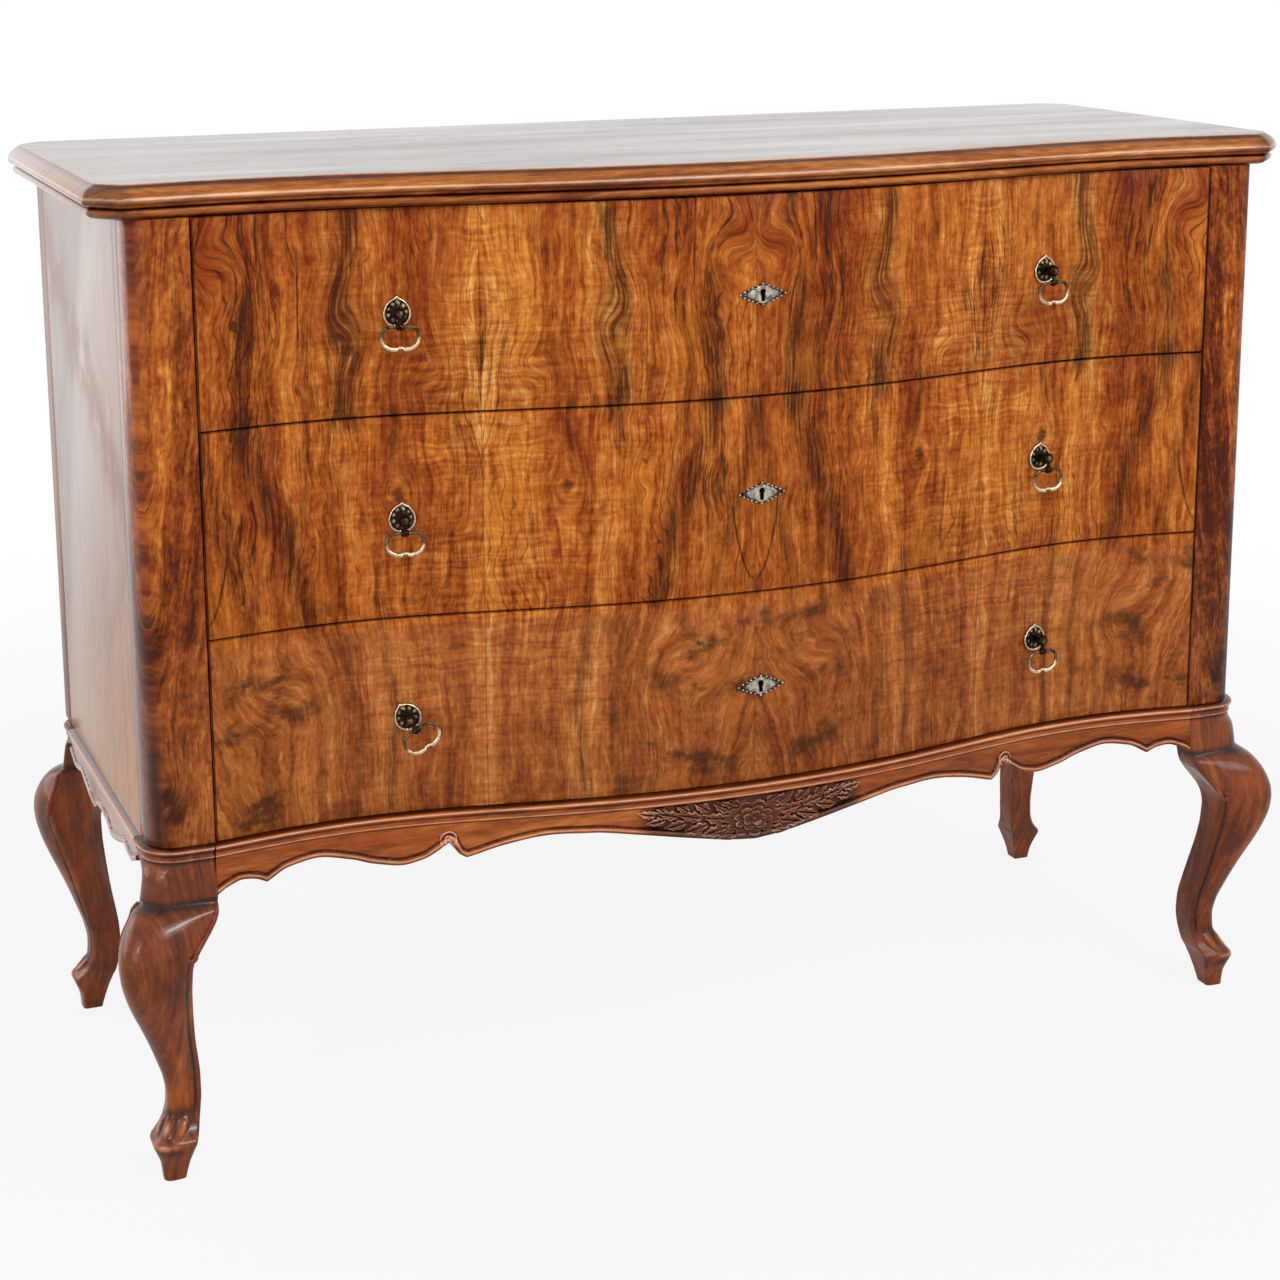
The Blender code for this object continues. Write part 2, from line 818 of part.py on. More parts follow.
def post_profile():
    """Ball, neck, collar, stud and nut along the post, from the ball's front backwards."""
    neck_turn = asin(neck_radius / ball_radius)
    ball = [
        (ball_radius * sin(turn), ball_reach + ball_radius * cos(turn))
        for turn in spread(0, pi - neck_turn, ball_steps)
    ]
    collar_top = plate_gap + plate_thickness + collar_thickness
    plate_face = plate_gap + plate_thickness / 2
    nut_top = -front_thickness - nut_gap
    nut_base = nut_top - nut_thickness
    return ball + [
        (neck_radius, collar_top + fit_gap),
        (collar_radius, collar_top - collar_thickness / 3),
        (collar_radius, plate_face),
        (stud_radius, plate_face),
        (stud_radius, nut_top),
        (nut_radius, nut_top),
        (nut_radius, nut_base),
        (stud_radius, nut_base),
        (stud_radius, nut_base - stud_end),
        (0, nut_base - stud_end),
    ]


def rod_profile(radius, high, low):
    """Plain rod between two heights, as a profile to turn."""
    return [(0, high), (radius, high), (radius, low), (0, low)]


def ring_mesh(name):
    """Drop ring about its own hinge axis: a stirrup of round wire, thicker at the bottom."""
    right = [(u * ring_half_width, v * ring_drop, size) for u, v, size in ring_outline_shares]
    left = [(-x, z, size) for x, z, size in reversed(right)]
    points = right + left
    curve = bpy.data.curves.new(name, "CURVE")
    curve.dimensions = "3D"
    curve.bevel_depth = ring_wire
    curve.bevel_resolution = 1
    line = curve.splines.new("POLY")
    line.points.add(len(points) - 1)
    for point, (x, z, size) in zip(line.points, points):
        point.co = (x, 0, z, curve_weight)
        point.radius = size
    line.use_cyclic_u = True
    return mesh_of(bpy.data.objects.new(name, curve))


def make_drawer(name, row):
    """One drawer with its pulls, lock and escutcheon, hung on an empty that slides along Y."""
    bottom = case_bottom + row * row_pitch
    middle = bottom + row_pitch / 2
    front_low = bottom + front_gap / 2
    front_high = bottom + row_pitch - front_gap / 2
    support = bottom + (rail_thickness if row == 0 else rail_thickness / 2)
    box_low = support + fit_gap
    box_high = box_low + drawer_side_height
    slide = bpy.data.objects.new(f"{name}_drawer_slide", None)
    slide.location = (0, 0, middle)
    chest.objects.link(slide)
    slide.parent = chest_origin

    half = opening_half_width - front_side_gap
    xs = spread(-half, half, front_steps)
    face = [(x, serpentine(x)) for x in xs]
    rear = [(x, serpentine(x) + front_thickness) for x in reversed(xs)]
    front = dress(prism(f"{name}_drawer_front", face + rear, front_low, front_high), veneer)
    round_shading(front)

    outer = opening_half_width - side_clearance
    inner = outer - drawer_side_thickness
    seat = front_thickness + fit_gap
    pieces = [front]
    panel_half = inner + groove_depth
    panel_low = box_low + drawer_bottom_lift
    panel_high = panel_low + drawer_bottom_thickness
    panel_xs = spread(-panel_half, panel_half, front_steps)

    def panel_outline(grow):
        reach = front_thickness - groove_depth - grow
        line = [(x, serpentine(x) + reach) for x in panel_xs]
        wide = panel_half + grow
        line[0] = (-wide, line[0][1])
        line[-1] = (wide, line[-1][1])
        end = drawer_end + (cut_overrun if grow else 0)
        return line + [(wide, end), (-wide, end)]

    groove = prism(f"{name}_groove", panel_outline(groove_gap), panel_low - groove_gap,
                   panel_high + groove_gap, home=cutters)
    cut(front, groove)
    for side, sign in (("right", 1), ("left", -1)):
        plan = [
            (sign * inner, serpentine(inner) + seat),
            (sign * outer, serpentine(outer) + seat),
            (sign * outer, drawer_end),
            (sign * inner, drawer_end),
        ]
        board = prism(f"{name}_drawer_side_{side}", plan, box_low, box_high)
        pieces.append(dress(cut(board, groove), poplar))
    back_low = (-inner + fit_gap, drawer_end - drawer_back_thickness, panel_high + fit_gap)
    back_high = (inner - fit_gap, drawer_end, box_high)
    pieces.append(dress(box(f"{name}_drawer_back", back_low, back_high), poplar))
    panel = prism(f"{name}_drawer_bottom", panel_outline(0), panel_low, panel_high)
    pieces.append(dress(panel, poplar))

    # Keyhole, escutcheon and lock
    key_z = middle + key_lift
    keyhole = prism(f"{name}_keyhole", key_outline(0, key_z), serpentine(0) - 2 * cut_overrun,
                    serpentine(0) + front_thickness + cut_overrun, "Y", home=cutters)
    cut(front, keyhole)
    plate_back = serpentine(0) - plate_gap
    plate = prism(f"{name}_escutcheon", escutcheon_outline(key_z),
                  plate_back - escutcheon_thickness, plate_back, "Y")
    pieces.append(dress(cut(plate, keyhole), nickel))
    lock_front = serpentine(0) + front_thickness - lock_recess
    lock_low = (key_x - lock_half_width, lock_front, key_z - lock_below_key)
    lock_high = (key_x + lock_half_width, lock_front + lock_thickness, key_z + lock_above_key)
    recess_low = tuple(value - fit_gap for value in lock_low)
    recess_high = (lock_high[0] + fit_gap, lock_high[1], lock_high[2] + fit_gap)
    cut(front, box(f"{name}_lock_recess", recess_low, recess_high, home=cutters))
    lock = dress(box(f"{name}_lock_case", lock_low, lock_high), iron)
    bolt_low = key_z + lock_above_key - bolt_tail
    ceiling = bottom + row_pitch - (rail_thickness if row == 2 else rail_thickness / 2)
    slot = bolt_box(bolt_slot_gap, bolt_low - bolt_slot_gap, ceiling)
    cut(lock, box(f"{name}_bolt_slot", *slot, home=cutters))
    cut(lock, keyhole)
    pieces.append(lock)
    bolt_corners = bolt_box(0, bolt_low, ceiling - bolt_tip_gap)
    bolt = dress(box(f"{name}_lock_bolt", *bolt_corners), iron)
    set_origin(bolt, (key_x, bolt_corners[1][1] - bolt_thickness / 2, bolt_low))
    pieces.append(bolt)

    # Pulls: a plate and its ball post are one piece, and the ring turns in the ball
    for side, sign in (("left", -1), ("right", 1)):
        lean = Matrix.Rotation(pull_turn.get((name, side), 0), 4, "Y")
        place = pull_frame(sign, middle) @ lean
        mount_shape = plate_mesh("plate")
        mount_shape.transform(place)
        mount = add_object(f"{name}_pull_mount_{side}", mount_shape)
        post = turned_mesh("post", post_profile())
        post.transform(place @ along_y)
        cut(mount, add_object(f"{name}_{side}_post", post, cutters), "UNION")
        bore = turned_mesh("stud_hole", rod_profile(stud_hole_radius, cut_overrun * 2,
                                                    -front_thickness - cut_overrun))
        bore.transform(place @ along_y)
        cut(front, add_object(f"{name}_{side}_stud_hole", bore, cutters))
        hinge = place @ Matrix.Translation((0, -eye_reach, -eye_drop))
        stem = turned_mesh("stem", rod_profile(stem_radius, eye_drop, 0))
        stem.transform(hinge)
        cut(mount, add_object(f"{name}_{side}_stem", stem, cutters), "UNION")
        eye = turned_mesh("eye", rod_profile(eye_radius, eye_half_length, -eye_half_length))
        eye.transform(hinge @ along_x)
        cut(mount, add_object(f"{name}_{side}_eye", eye, cutters), "UNION")
        hole = turned_mesh("ring_hole", rod_profile(ring_wire + ring_hole_gap, eye_drop,
                                                    -eye_drop), hole_steps)
        hole.transform(hinge @ along_x)
        cut(mount, add_object(f"{name}_{side}_ring_hole", hole, cutters))
        pieces.append(round_shading(dress(mount, brass)))
        ring = add_object(f"{name}_ring_{side}", ring_mesh("ring"))
        ring.matrix_local = hinge
        round_shading(dress(ring, brass), radians(60))
        carry(ring, slide)
    for piece in pieces:
        carry(piece, slide)


make_posts()
make_panels()
make_rails()
make_dust_boards()
make_top()
make_front_apron()
make_side_aprons()
make_back_apron()
make_legs()
for row, name in enumerate(drawer_names):
    make_drawer(name, row)
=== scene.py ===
"""Looks of the curved chest of drawers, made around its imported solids.

Lengths are in metres, X to the right, Y to the back, Z up.
"""

from math import asin, atan, cos, pi, radians, sin, sqrt

import bmesh
import bpy
import numpy as np
from mathutils import Matrix, Vector


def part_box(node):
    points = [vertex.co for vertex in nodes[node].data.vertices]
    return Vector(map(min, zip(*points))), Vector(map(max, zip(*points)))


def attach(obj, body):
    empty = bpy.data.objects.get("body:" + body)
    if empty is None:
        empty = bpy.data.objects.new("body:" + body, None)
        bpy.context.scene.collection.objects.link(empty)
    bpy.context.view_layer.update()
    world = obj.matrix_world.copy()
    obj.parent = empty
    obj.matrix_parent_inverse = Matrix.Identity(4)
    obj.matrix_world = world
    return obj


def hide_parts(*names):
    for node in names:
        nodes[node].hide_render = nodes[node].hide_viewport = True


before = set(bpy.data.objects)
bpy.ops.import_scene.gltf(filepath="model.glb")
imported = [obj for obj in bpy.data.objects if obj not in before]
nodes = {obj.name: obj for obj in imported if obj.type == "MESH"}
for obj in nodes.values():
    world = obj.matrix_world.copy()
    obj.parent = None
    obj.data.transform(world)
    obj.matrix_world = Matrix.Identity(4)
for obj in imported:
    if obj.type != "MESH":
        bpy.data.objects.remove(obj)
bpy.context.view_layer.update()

# Sizes of the case, as the solids have them

case_half_width = 0.590
case_depth = 0.440
top_height = 0.940
base_top = 0.329
top_thickness = 0.021
under_top_thickness = 0.010
post_width = 0.060
fit_gap = 0.0003
case_bottom = base_top + fit_gap
top_joint_height = top_height - top_thickness
case_top = top_joint_height - under_top_thickness - fit_gap
opening_half_width = case_half_width - post_width
row_pitch = (case_top - case_bottom) / 3
plan_shift = case_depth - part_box("back_apron")[1][1]

wave_one = 0.0213
wave_three = 0.0194
wave_five = -0.0035
post_radius = 0.028

top_side_overhang = 0.030
top_front_overhang = 0.012
top_back_overhang = 0.012
top_cant = 0.028
top_bow_share = 0.85
top_nose_width = 0.0125
top_nose_shares = [
    (0.00, 1.00), (0.05, 0.93), (0.09, 0.84), (0.16, 0.60), (0.27, 0.36), (0.42, 0.16),
    (0.57, 0.04), (0.70, 0.00), (0.82, 0.06), (0.92, 0.24), (1.00, 0.52),
]
under_nose_shares = [
    (0.00, 0.62), (0.10, 0.44), (0.30, 0.34), (0.55, 0.36), (0.75, 0.48), (0.90, 0.70),
    (1.00, 1.00),
]

base_overhang = 0.007
base_mould_height = 0.0135
base_mould_shares = [
    (0.00, 0.57), (0.08, 0.83), (0.21, 1.00), (0.33, 0.95), (0.44, 0.72), (0.51, 0.54),
    (0.74, 0.51), (0.85, 0.66), (0.95, 0.56), (1.00, 0.43),
]
apron_thickness = 0.024
apron_drop = 0.0585
front_edge_shares = [
    [(0.0, 1.0), (0.05, 0.957), (0.113, 0.863), (0.226, 0.684), (0.311, 0.573), (0.387, 0.547),
     (0.453, 0.624), (0.543, 0.838)],
    [(0.543, 0.838), (0.557, 0.752), (0.570, 0.53)],
    [(0.570, 0.53), (0.592, 0.667), (0.619, 0.803), (0.660, 0.872), (0.708, 0.795), (0.755, 0.658),
     (0.815, 0.547), (0.868, 0.616), (0.909, 0.795)],
    [(0.909, 0.795), (0.930, 0.709), (0.955, 0.675), (0.979, 0.735), (1.010, 0.903)],
]
side_edge_shares = [
    [(0.0, 0.59), (0.127, 0.624), (0.249, 0.76)],
    [(0.249, 0.76), (0.405, 0.692), (0.532, 0.59), (0.647, 0.496)],
    [(0.647, 0.496), (0.740, 0.556), (0.850, 0.581)],
    [(0.850, 0.581), (0.925, 0.496), (1.02, 0.401)],
]

block_height = 0.051
leg_height = base_top - block_height
knee_reach = 0.045
foot_inset = 0.0155
block_depth = 0.055
block_flare = 0.0085
block_seam_shift = 0.001
leg_edge_round = 0.0022
leg_round_share = 0.33
leg_round_limit = 0.020
block_cove_shares = [(0.0, 0.52), (0.25, 0.52), (0.44, 0.54), (0.60, 0.70), (0.67, 1.0)]
leg_profile_shares = [
    (0.000, 0.21, -0.24, -0.24, 0.02, 0.02),
    (0.030, 0.225, -0.285, -0.285, 0.02, 0.02),
    (0.058, 0.25, -0.33, -0.33, 0.02, 0.02),
    (0.086, 0.31, -0.38, -0.38, 0.02, 0.02),
    (0.108, 0.365, -0.42, -0.42, 0.02, 0.02),
    (0.130, 0.41, -0.47, -0.47, 0.03, 0.02),
    (0.144, 0.37, -0.50, -0.50, 0.04, 0.02),
    (0.158, 0.28, -0.54, -0.54, 0.04, 0.02),
    (0.173, 0.20, -0.57, -0.57, 0.04, 0.02),
    (0.201, 0.10, -0.61, -0.61, 0.04, 0.02),
    (0.237, 0.045, -0.65, -0.65, 0.05, 0.02),
    (0.288, 0.03, -0.68, -0.68, 0.06, 0.02),
    (0.353, 0.09, -0.67, -0.67, 0.08, 0.03),
    (0.424, 0.23, -0.62, -0.62, 0.13, 0.06),
    (0.496, 0.39, -0.56, -0.56, 0.18, 0.11),
    (0.568, 0.57, -0.52, -0.52, 0.25, 0.21),
    (0.640, 0.76, -0.49, -0.48, 0.31, 0.30),
    (0.705, 0.90, -0.47, -0.44, 0.33, 0.34),
    (0.763, 0.98, -0.47, -0.40, 0.30, 0.34),
    (0.806, 1.00, -0.50, -0.38, 0.25, 0.30),
    (0.842, 0.985, -0.58, -0.36, 0.22, 0.22),
    (0.878, 0.93, -0.73, -0.35, 0.20, 0.14),
    (0.914, 0.84, -0.91, -0.32, 0.20, 0.08),
    (0.942, 0.74, -1.03, -0.30, 0.17, 0.06),
    (0.968, 0.61, -1.09, -0.29, 0.09, 0.04),
    (0.990, 0.42, -1.11, -0.29, 0.03, 0.03),
]

drawer_names = ("lower", "middle", "upper")
pull_half_spacing = 0.6425 * opening_half_width
pull_turn = {("lower", "left"): radians(-32)}
front_thickness = 0.022
plate_width = 0.0265
plate_height = 0.030
plate_thickness = 0.0016
plate_gap = 0.0005
plate_outline_shares = [
    (0.00, 0.50), (0.09, 0.43), (0.25, 0.35), (0.40, 0.20), (0.48, 0.04), (0.50, -0.08),
    (0.47, -0.22), (0.38, -0.36), (0.22, -0.46), (0.00, -0.50),
]
ball_radius = 0.0060
ball_reach = 0.0145
neck_radius = 0.0032
collar_radius = 0.0062
collar_thickness = 0.0016
eye_drop = 0.0115
eye_reach = 0.0165
eye_radius = 0.0036
eye_half_length = 0.0036
stem_radius = 0.0024
stud_radius = 0.0020
nut_radius = 0.0050
nut_thickness = 0.0032
nut_gap = 0.0012
stud_end = 0.0020
ring_half_width = 0.0175
ring_drop = 0.0210
ring_wire = 0.0015
ring_outline_shares = [
    (0.38, 0.00, 1.00), (0.58, -0.01, 1.00), (0.78, -0.07, 1.10), (0.93, -0.20, 1.15),
    (1.00, -0.38, 1.15), (0.99, -0.56, 1.20), (0.90, -0.75, 1.30), (0.72, -0.89, 1.50),
    (0.50, -0.97, 1.65), (0.28, -0.99, 1.70), (0.11, -0.93, 1.45),
]
key_x = 0.006
key_lift = 0.0015
key_eye_radius = 0.0026
key_slot_half_width = 0.0017
key_slot_drop = 0.0066
key_eye_lift = 0.0025
escutcheon_half_width = 0.0245
escutcheon_half_height = 0.0105

leaf_width = opening_half_width / 2
weld_distance = 0.00001
sharp_turn = radians(20)
corner_points = 4


def spread(low, high, count):
    return [float(value) for value in np.linspace(low, high, count)]


def smooth(table, at):
    """Monotone cubic through (place, value) pairs, for one place or an array of places."""
    places = np.array([row[0] for row in table], float)
    values = np.array([row[1] for row in table], float)
    steps = np.diff(places)
    slopes = np.diff(values) / steps
    tangents = np.zeros(len(places))
    for index in range(1, len(places) - 1):
        before, after = slopes[index - 1], slopes[index]
        if before * after > 0:
            tangents[index] = 2 * before * after / (before + after)
    tangents[0], tangents[-1] = slopes[0], slopes[-1]
    index = np.clip(np.searchsorted(places, at) - 1, 0, len(steps) - 1)
    t = (at - places[index]) / steps[index]
    low = values[index] * (2 * t**3 - 3 * t**2 + 1) + values[index + 1] * (3 * t**2 - 2 * t**3)
    bend = tangents[index] * (t**3 - 2 * t**2 + t) + tangents[index + 1] * (t**3 - t**2)
    return low + steps[index] * bend


def wave(x, half):
    turn = pi * np.asarray(x) / (2 * half)
    return -(wave_one * np.cos(turn) + wave_three * np.cos(3 * turn) + wave_five * np.cos(5 * turn))


def serpentine(x):
    """Plan line of the drawers' faces."""
    return wave(x, opening_half_width)


def fade(low, high, values):
    """Smooth rise from 0 at low to 1 at high."""
    t = np.clip((np.asarray(values) - low) / (high - low), 0, 1)
    return t * t * (3 - 2 * t)


def bell(values, centre, width, power=2):
    """1 at the centre, near 0 at twice the width from it."""
    return np.exp(-(((values - centre) / width) ** power))


# Finishes: each is a node tree on object coordinates


def put(tree, kind, inputs=None, **settings):
    """Adds a node with its settings, and feeds its inputs numbers or other nodes' outputs."""
    node = tree.nodes.new(kind)
    for name, value in settings.items():
        setattr(node, name, value)
    for name, value in (inputs or {}).items():
        if isinstance(value, bpy.types.NodeSocket):
            tree.links.new(value, node.inputs[name])
        else:
            node.inputs[name].default_value = value
    return node


class Level:
    """A number that varies over a surface. Sums on it become nodes of its finish."""

    def __init__(self, finish, socket):
        self.finish = finish
        self.socket = socket

    def __add__(self, other):
        return self.finish.reckon("ADD", self, other)

    __radd__ = __add__

    def __sub__(self, other):
        return self.finish.reckon("SUBTRACT", self, other)

    def __rsub__(self, other):
        return self.finish.reckon("SUBTRACT", other, self)

    def __mul__(self, other):
        return self.finish.reckon("MULTIPLY", self, other)

    def __truediv__(self, other):
        return self.finish.reckon("DIVIDE", self, other)

    def size(self):
        return self.finish.reckon("ABSOLUTE", self)

    def held(self):
        """Kept between 0 and 1."""
        return self.finish.reckon("ADD", self, 0.0, held=True)

    def folded(self, width):
        """Mirrored back and forth every width."""
        return self.finish.reckon("PINGPONG", self, width)

    def bell(self, centre, width):
        """1 at the centre, near 0 at twice the width from it."""
        away = (self - centre) / width
        return self.finish.reckon("EXPONENT", away * away * -1.0)

    def rise(self, low, high):
        """Smooth step from 0 at low to 1 at high."""
        node = self.finish.add("ShaderNodeMapRange", {"Value": self, "From Min": low, "From Max": high},
                               interpolation_type="SMOOTHSTEP")
        return Level(self.finish, node.outputs["Result"])


class Finish:
    """One material, with short ways to add the nodes of its pattern."""

    def __init__(self, name, roughness, coat=0.0, coat_roughness=0.1, metallic=0.0, shine=0.5):
        self.material = bpy.data.materials.new(name)
        self.material.use_nodes = True
        self.tree = self.material.node_tree
        self.surface = self.tree.nodes["Principled BSDF"]
        for socket, value in (("Roughness", roughness), ("Metallic", metallic), ("Coat Weight", coat),
                              ("Coat Roughness", coat_roughness), ("Specular IOR Level", shine)):
            self.surface.inputs[socket].default_value = value
        place = self.add("ShaderNodeTexCoord")
        parts = self.add("ShaderNodeSeparateXYZ", {0: place.outputs["Object"]})
        self.x, self.y, self.z = [Level(self, socket) for socket in parts.outputs]
        facing = self.add("ShaderNodeSeparateXYZ", {0: place.outputs["Normal"]})
        self.facing_back = Level(self, facing.outputs[1])
        self.seed = 0
        self.shown = None

    def add(self, kind, inputs=None, **settings):
        """Adds a node, fed with levels, colours or numbers."""
        plain = {name: value.socket if isinstance(value, Level) else value
                 for name, value in (inputs or {}).items()}
        return put(self.tree, kind, plain, **settings)

    def feed(self, name, value):
        """Feeds one input of the surface itself."""
        socket = value.socket if isinstance(value, Level) else value
        self.tree.links.new(socket, self.surface.inputs[name])

    def reckon(self, kind, *values, held=False):
        node = self.add("ShaderNodeMath", dict(enumerate(values)), operation=kind, use_clamp=held)
        return Level(self, node.outputs[0])

    def noise(self, across, along, deep=0.0, detail=3.0, rough=0.55):
        """Noise from about -1 to 1, a new one at each call."""
        self.seed += 1
        place = self.add("ShaderNodeCombineXYZ", {0: across, 1: along, 2: deep + self.seed * 5.37})
        node = self.add("ShaderNodeTexNoise", {"Vector": place.outputs[0], "Scale": 1.0, "Detail": detail,
                                               "Roughness": rough})
        return Level(self, node.outputs["Fac"]) * 4.0 - 2.0

    def attribute(self, name):
        return Level(self, self.add("ShaderNodeAttribute", attribute_name=name).outputs["Fac"])

    def ramp(self, level, stops):
        """Colours at places from 0 to 1."""
        node = self.add("ShaderNodeValToRGB", {0: level})
        elements = node.color_ramp.elements
        while len(elements) < len(stops):
            elements.new(0.5)
        for element, (place, colour) in zip(elements, stops):
            element.position = place
            element.color = paint(colour)
        return node.outputs[0]

    def blend(self, level, first, second):
        """First colour where the level is 0, second where it is 1."""
        pair = [paint(colour) if isinstance(colour, tuple) else colour for colour in (first, second)]
        node = self.add("ShaderNodeMix", {0: level, 6: pair[0], 7: pair[1]}, data_type="RGBA")
        return node.outputs[2]

    def tint(self, level, colour):
        """Lays a colour over what shows so far, as far as the level says."""
        self.shown = self.blend(level, self.shown, colour)

    def finished(self, relief, depth, roughness=None):
        """The material, with what shows, and a bump of a depth in metres as the relief rises by 1."""
        bump = self.add("ShaderNodeBump", {"Distance": depth, "Height": relief})
        self.feed("Base Color", self.shown)
        self.feed("Normal", bump.outputs[0])
        if roughness is not None:
            self.feed("Roughness", roughness)
        return self.material


def paint(colour):
    """Shader colour of a screen colour with parts from 0 to 255."""
    parts = [part / 255 for part in colour]
    linear = [part / 12.92 if part <= 0.04045 else ((part + 0.055) / 1.055) ** 2.4 for part in parts]
    return (*linear, 1.0)


vein_brown = (40, 14, 4)
smoke_brown = (70, 38, 18)
# Painted shade colour of the gaps round the drawers and of the keyholes
gap_shade_brown = (20, 9, 5)
pore_brown = (50, 22, 12)
walnut_stops = [(0.04, (84, 27, 3)), (0.18, (110, 42, 6)), (0.35, (147, 66, 15)), (0.50, (177, 90, 30)),
                (0.66, (205, 115, 43)), (0.84, (229, 145, 64)), (1.0, (247, 180, 100))]
crotch_stops = [(0.04, (76, 36, 18)), (0.25, (120, 61, 29)), (0.50, (166, 91, 45)), (0.72, (197, 120, 64)),
                (1.0, (230, 166, 104))]
poplar_stops = [(0.0, (120, 80, 46)), (0.4, (158, 113, 70)), (0.7, (184, 141, 94)), (1.0, (206, 168, 120))]
foot_stops = [(0.0, (120, 68, 34)), (0.5, (206, 146, 88)), (1.0, (236, 190, 140))]
panel_stops = [(0.0, (64, 28, 14)), (0.35, (118, 62, 34)), (0.6, (160, 98, 56)), (1.0, (206, 152, 100))]
top_stops = [(0.0, (24, 10, 6)), (0.4, (66, 34, 18)), (0.7, (104, 58, 30)), (1.0, (150, 98, 60))]
carved_stops = [(0.0, (40, 16, 8)), (0.25, (72, 34, 18)), (0.5, (112, 58, 34)), (1.0, (184, 124, 92))]


def figure(finish, across, along, fine, leaf=0.0):
    """Tone and dark vein level of walnut whose grain runs along. Each leaf is a new slice of it."""
    near, far = leaf * 0.14, leaf * 0.9
    bend = finish.noise(across * 24.0, along * 13.0, near, detail=2.0) * 0.0035
    across = across + bend
    streak = finish.noise(across * 52.0, along * 1.9, near, detail=8.0, rough=0.70)
    broad = finish.noise(across * 10.0, along * 1.5, near, detail=3.0)
    fleck = finish.noise(across * 120.0, along * 46.0, far, detail=4.0, rough=0.65)
    burr = finish.noise(across * 230.0, along * 170.0, far, detail=2.0)
    fibre = finish.noise(across * 430.0, along * 22.0, far, detail=2.0)
    tone = 0.52 + streak * 0.35 + broad * 0.18 + (fleck * 0.22 + burr * 0.10 + fibre * 0.12) * fine
    ridge = finish.noise(across * 21.0, along * 2.1, near, detail=6.0, rough=0.62).size()
    second = finish.noise(across * 44.0, along * 3.2, near, detail=6.0, rough=0.66).size()
    cluster = finish.noise(across * 8.0, along * 3.0, near, detail=2.0).rise(-0.40, 0.70)
    flow = across * 150.0 + finish.noise(across * 13.0, along * 6.5, near, detail=4.0, rough=0.58) * 2.3
    flow = (flow + finish.noise(across * 90.0, along * 30.0, far, detail=2.0) * 0.10).folded(0.5)
    patch = finish.noise(across * 15.0, along * 7.0, far, detail=3.0).rise(-0.25, 0.75)
    vein = (1.0 - ridge.rise(0.0, 0.09)) * cluster * 0.95 + (1.0 - second.rise(0.0, 0.09)) * cluster * 0.60
    vein = vein + (1.0 - flow.rise(0.0, 0.13)) * (patch * 0.80 + 0.08)
    hair = finish.noise(across * 170.0, along * 4.5, far, detail=4.0, rough=0.6).size()
    vein = vein + (1.0 - hair.rise(0.0, 0.13)) * (1.0 - patch) * 0.42
    return tone, vein


# Knots of one veneer leaf: distance from the fold, height, half width, half height, pull, swirl, eye
leaf_knots = [
    (0.186, 0.640, 0.017, 0.024, 0.90, 0.25, 1.0),
    (0.112, 0.640, 0.012, 0.018, 0.80, -0.40, 0.5),
    (0.020, 0.866, 0.026, 0.034, 0.85, 0.55, 0.35),
    (0.215, 0.752, 0.022, 0.024, 0.70, -0.50, 0.0),
    (0.002, 0.532, 0.014, 0.022, 0.80, 0.00, 0.6),
    (0.070, 0.455, 0.045, 0.040, 0.70, 0.60, 0.0),
    (0.140, 0.800, 0.020, 0.030, 0.60, 0.50, 0.0),
]
# Dark streaks of one leaf: distance from the fold at the top, lean, half width, strength, low, high
leaf_streaks = [
    (0.046, 0.00, 0.010, 0.80, 0.690, 0.850),
    (0.044, 0.25, 0.011, 0.90, 0.500, 0.735),
    (0.006, 0.17, 0.007, 0.60, 0.500, 0.735),
    (0.146, 0.00, 0.010, 1.00, 0.690, 0.925),
    (0.162, 0.00, 0.006, 0.75, 0.300, 0.560),
    (0.123, 0.00, 0.005, 0.60, 0.300, 0.500),
    (0.203, 0.00, 0.004, 0.70, 0.835, 0.890),
    (0.188, 0.00, 0.004, 0.80, 0.655, 0.740),
    (0.216, 0.00, 0.002, 0.70, 0.530, 0.630),
    (0.083, 0.00, 0.004, 0.55, 0.300, 0.470),
    (0.004, 0.00, 0.008, 0.70, 0.660, 0.730),
]
lower_front_top = 0.5225
arch_foot = 0.535
arch_height = 0.065
arch_half_width = 0.023
# Painted shade along the drawer gaps and in the keyholes: its widths and softness
gap_shade_half_width = 0.0022
gap_shade_fade = 0.0014
keyhole_shade_width = 0.0045
keyhole_shade_height = 0.009
scrape_out = 0.195
scrape_z = 0.440
front_polish = 0.06


def veneer_pores(finish, across, along):
    """Fine dark pores, as a level for the bump too."""
    pore = finish.noise(across * 1500.0, along * 70.0, detail=1.0).rise(0.9, 1.4)
    finish.tint(pore * 0.35, vein_brown)
    return pore


def drawn_by_knots(finish, across, z, grain):
    """Grain drawn round the knots of a leaf, and how near to a knot's heart each place is."""
    heart = finish.noise(across * 80.0, z * 60.0) * 0.05
    for place, height, wide, tall, pull, swirl, eye in leaf_knots:
        near = across.bell(place, wide) * z.bell(height, tall)
        grain = grain - (across - place) * near * pull + (z - height) * near * swirl
        if eye:
            heart = heart + near * eye
    return grain, heart


def streaked(finish, z, grain, wander, dark):
    """Dark level with the streaks of a leaf, each a sheaf of fine lines."""
    lines = finish.noise(grain * 330.0, z * 7.0, detail=4.0, rough=0.65).rise(-0.7, 0.5)
    for place, lean, wide, strength, low, high in leaf_streaks:
        centre = (high - z) * lean + place + wander
        body = (grain - centre).bell(0.0, wide) * z.rise(low, low + 0.03)
        body = body * (1.0 - z.rise(high - 0.025, high))
        dark = dark + body * (lines * 0.75 + 0.25) * strength
    return dark


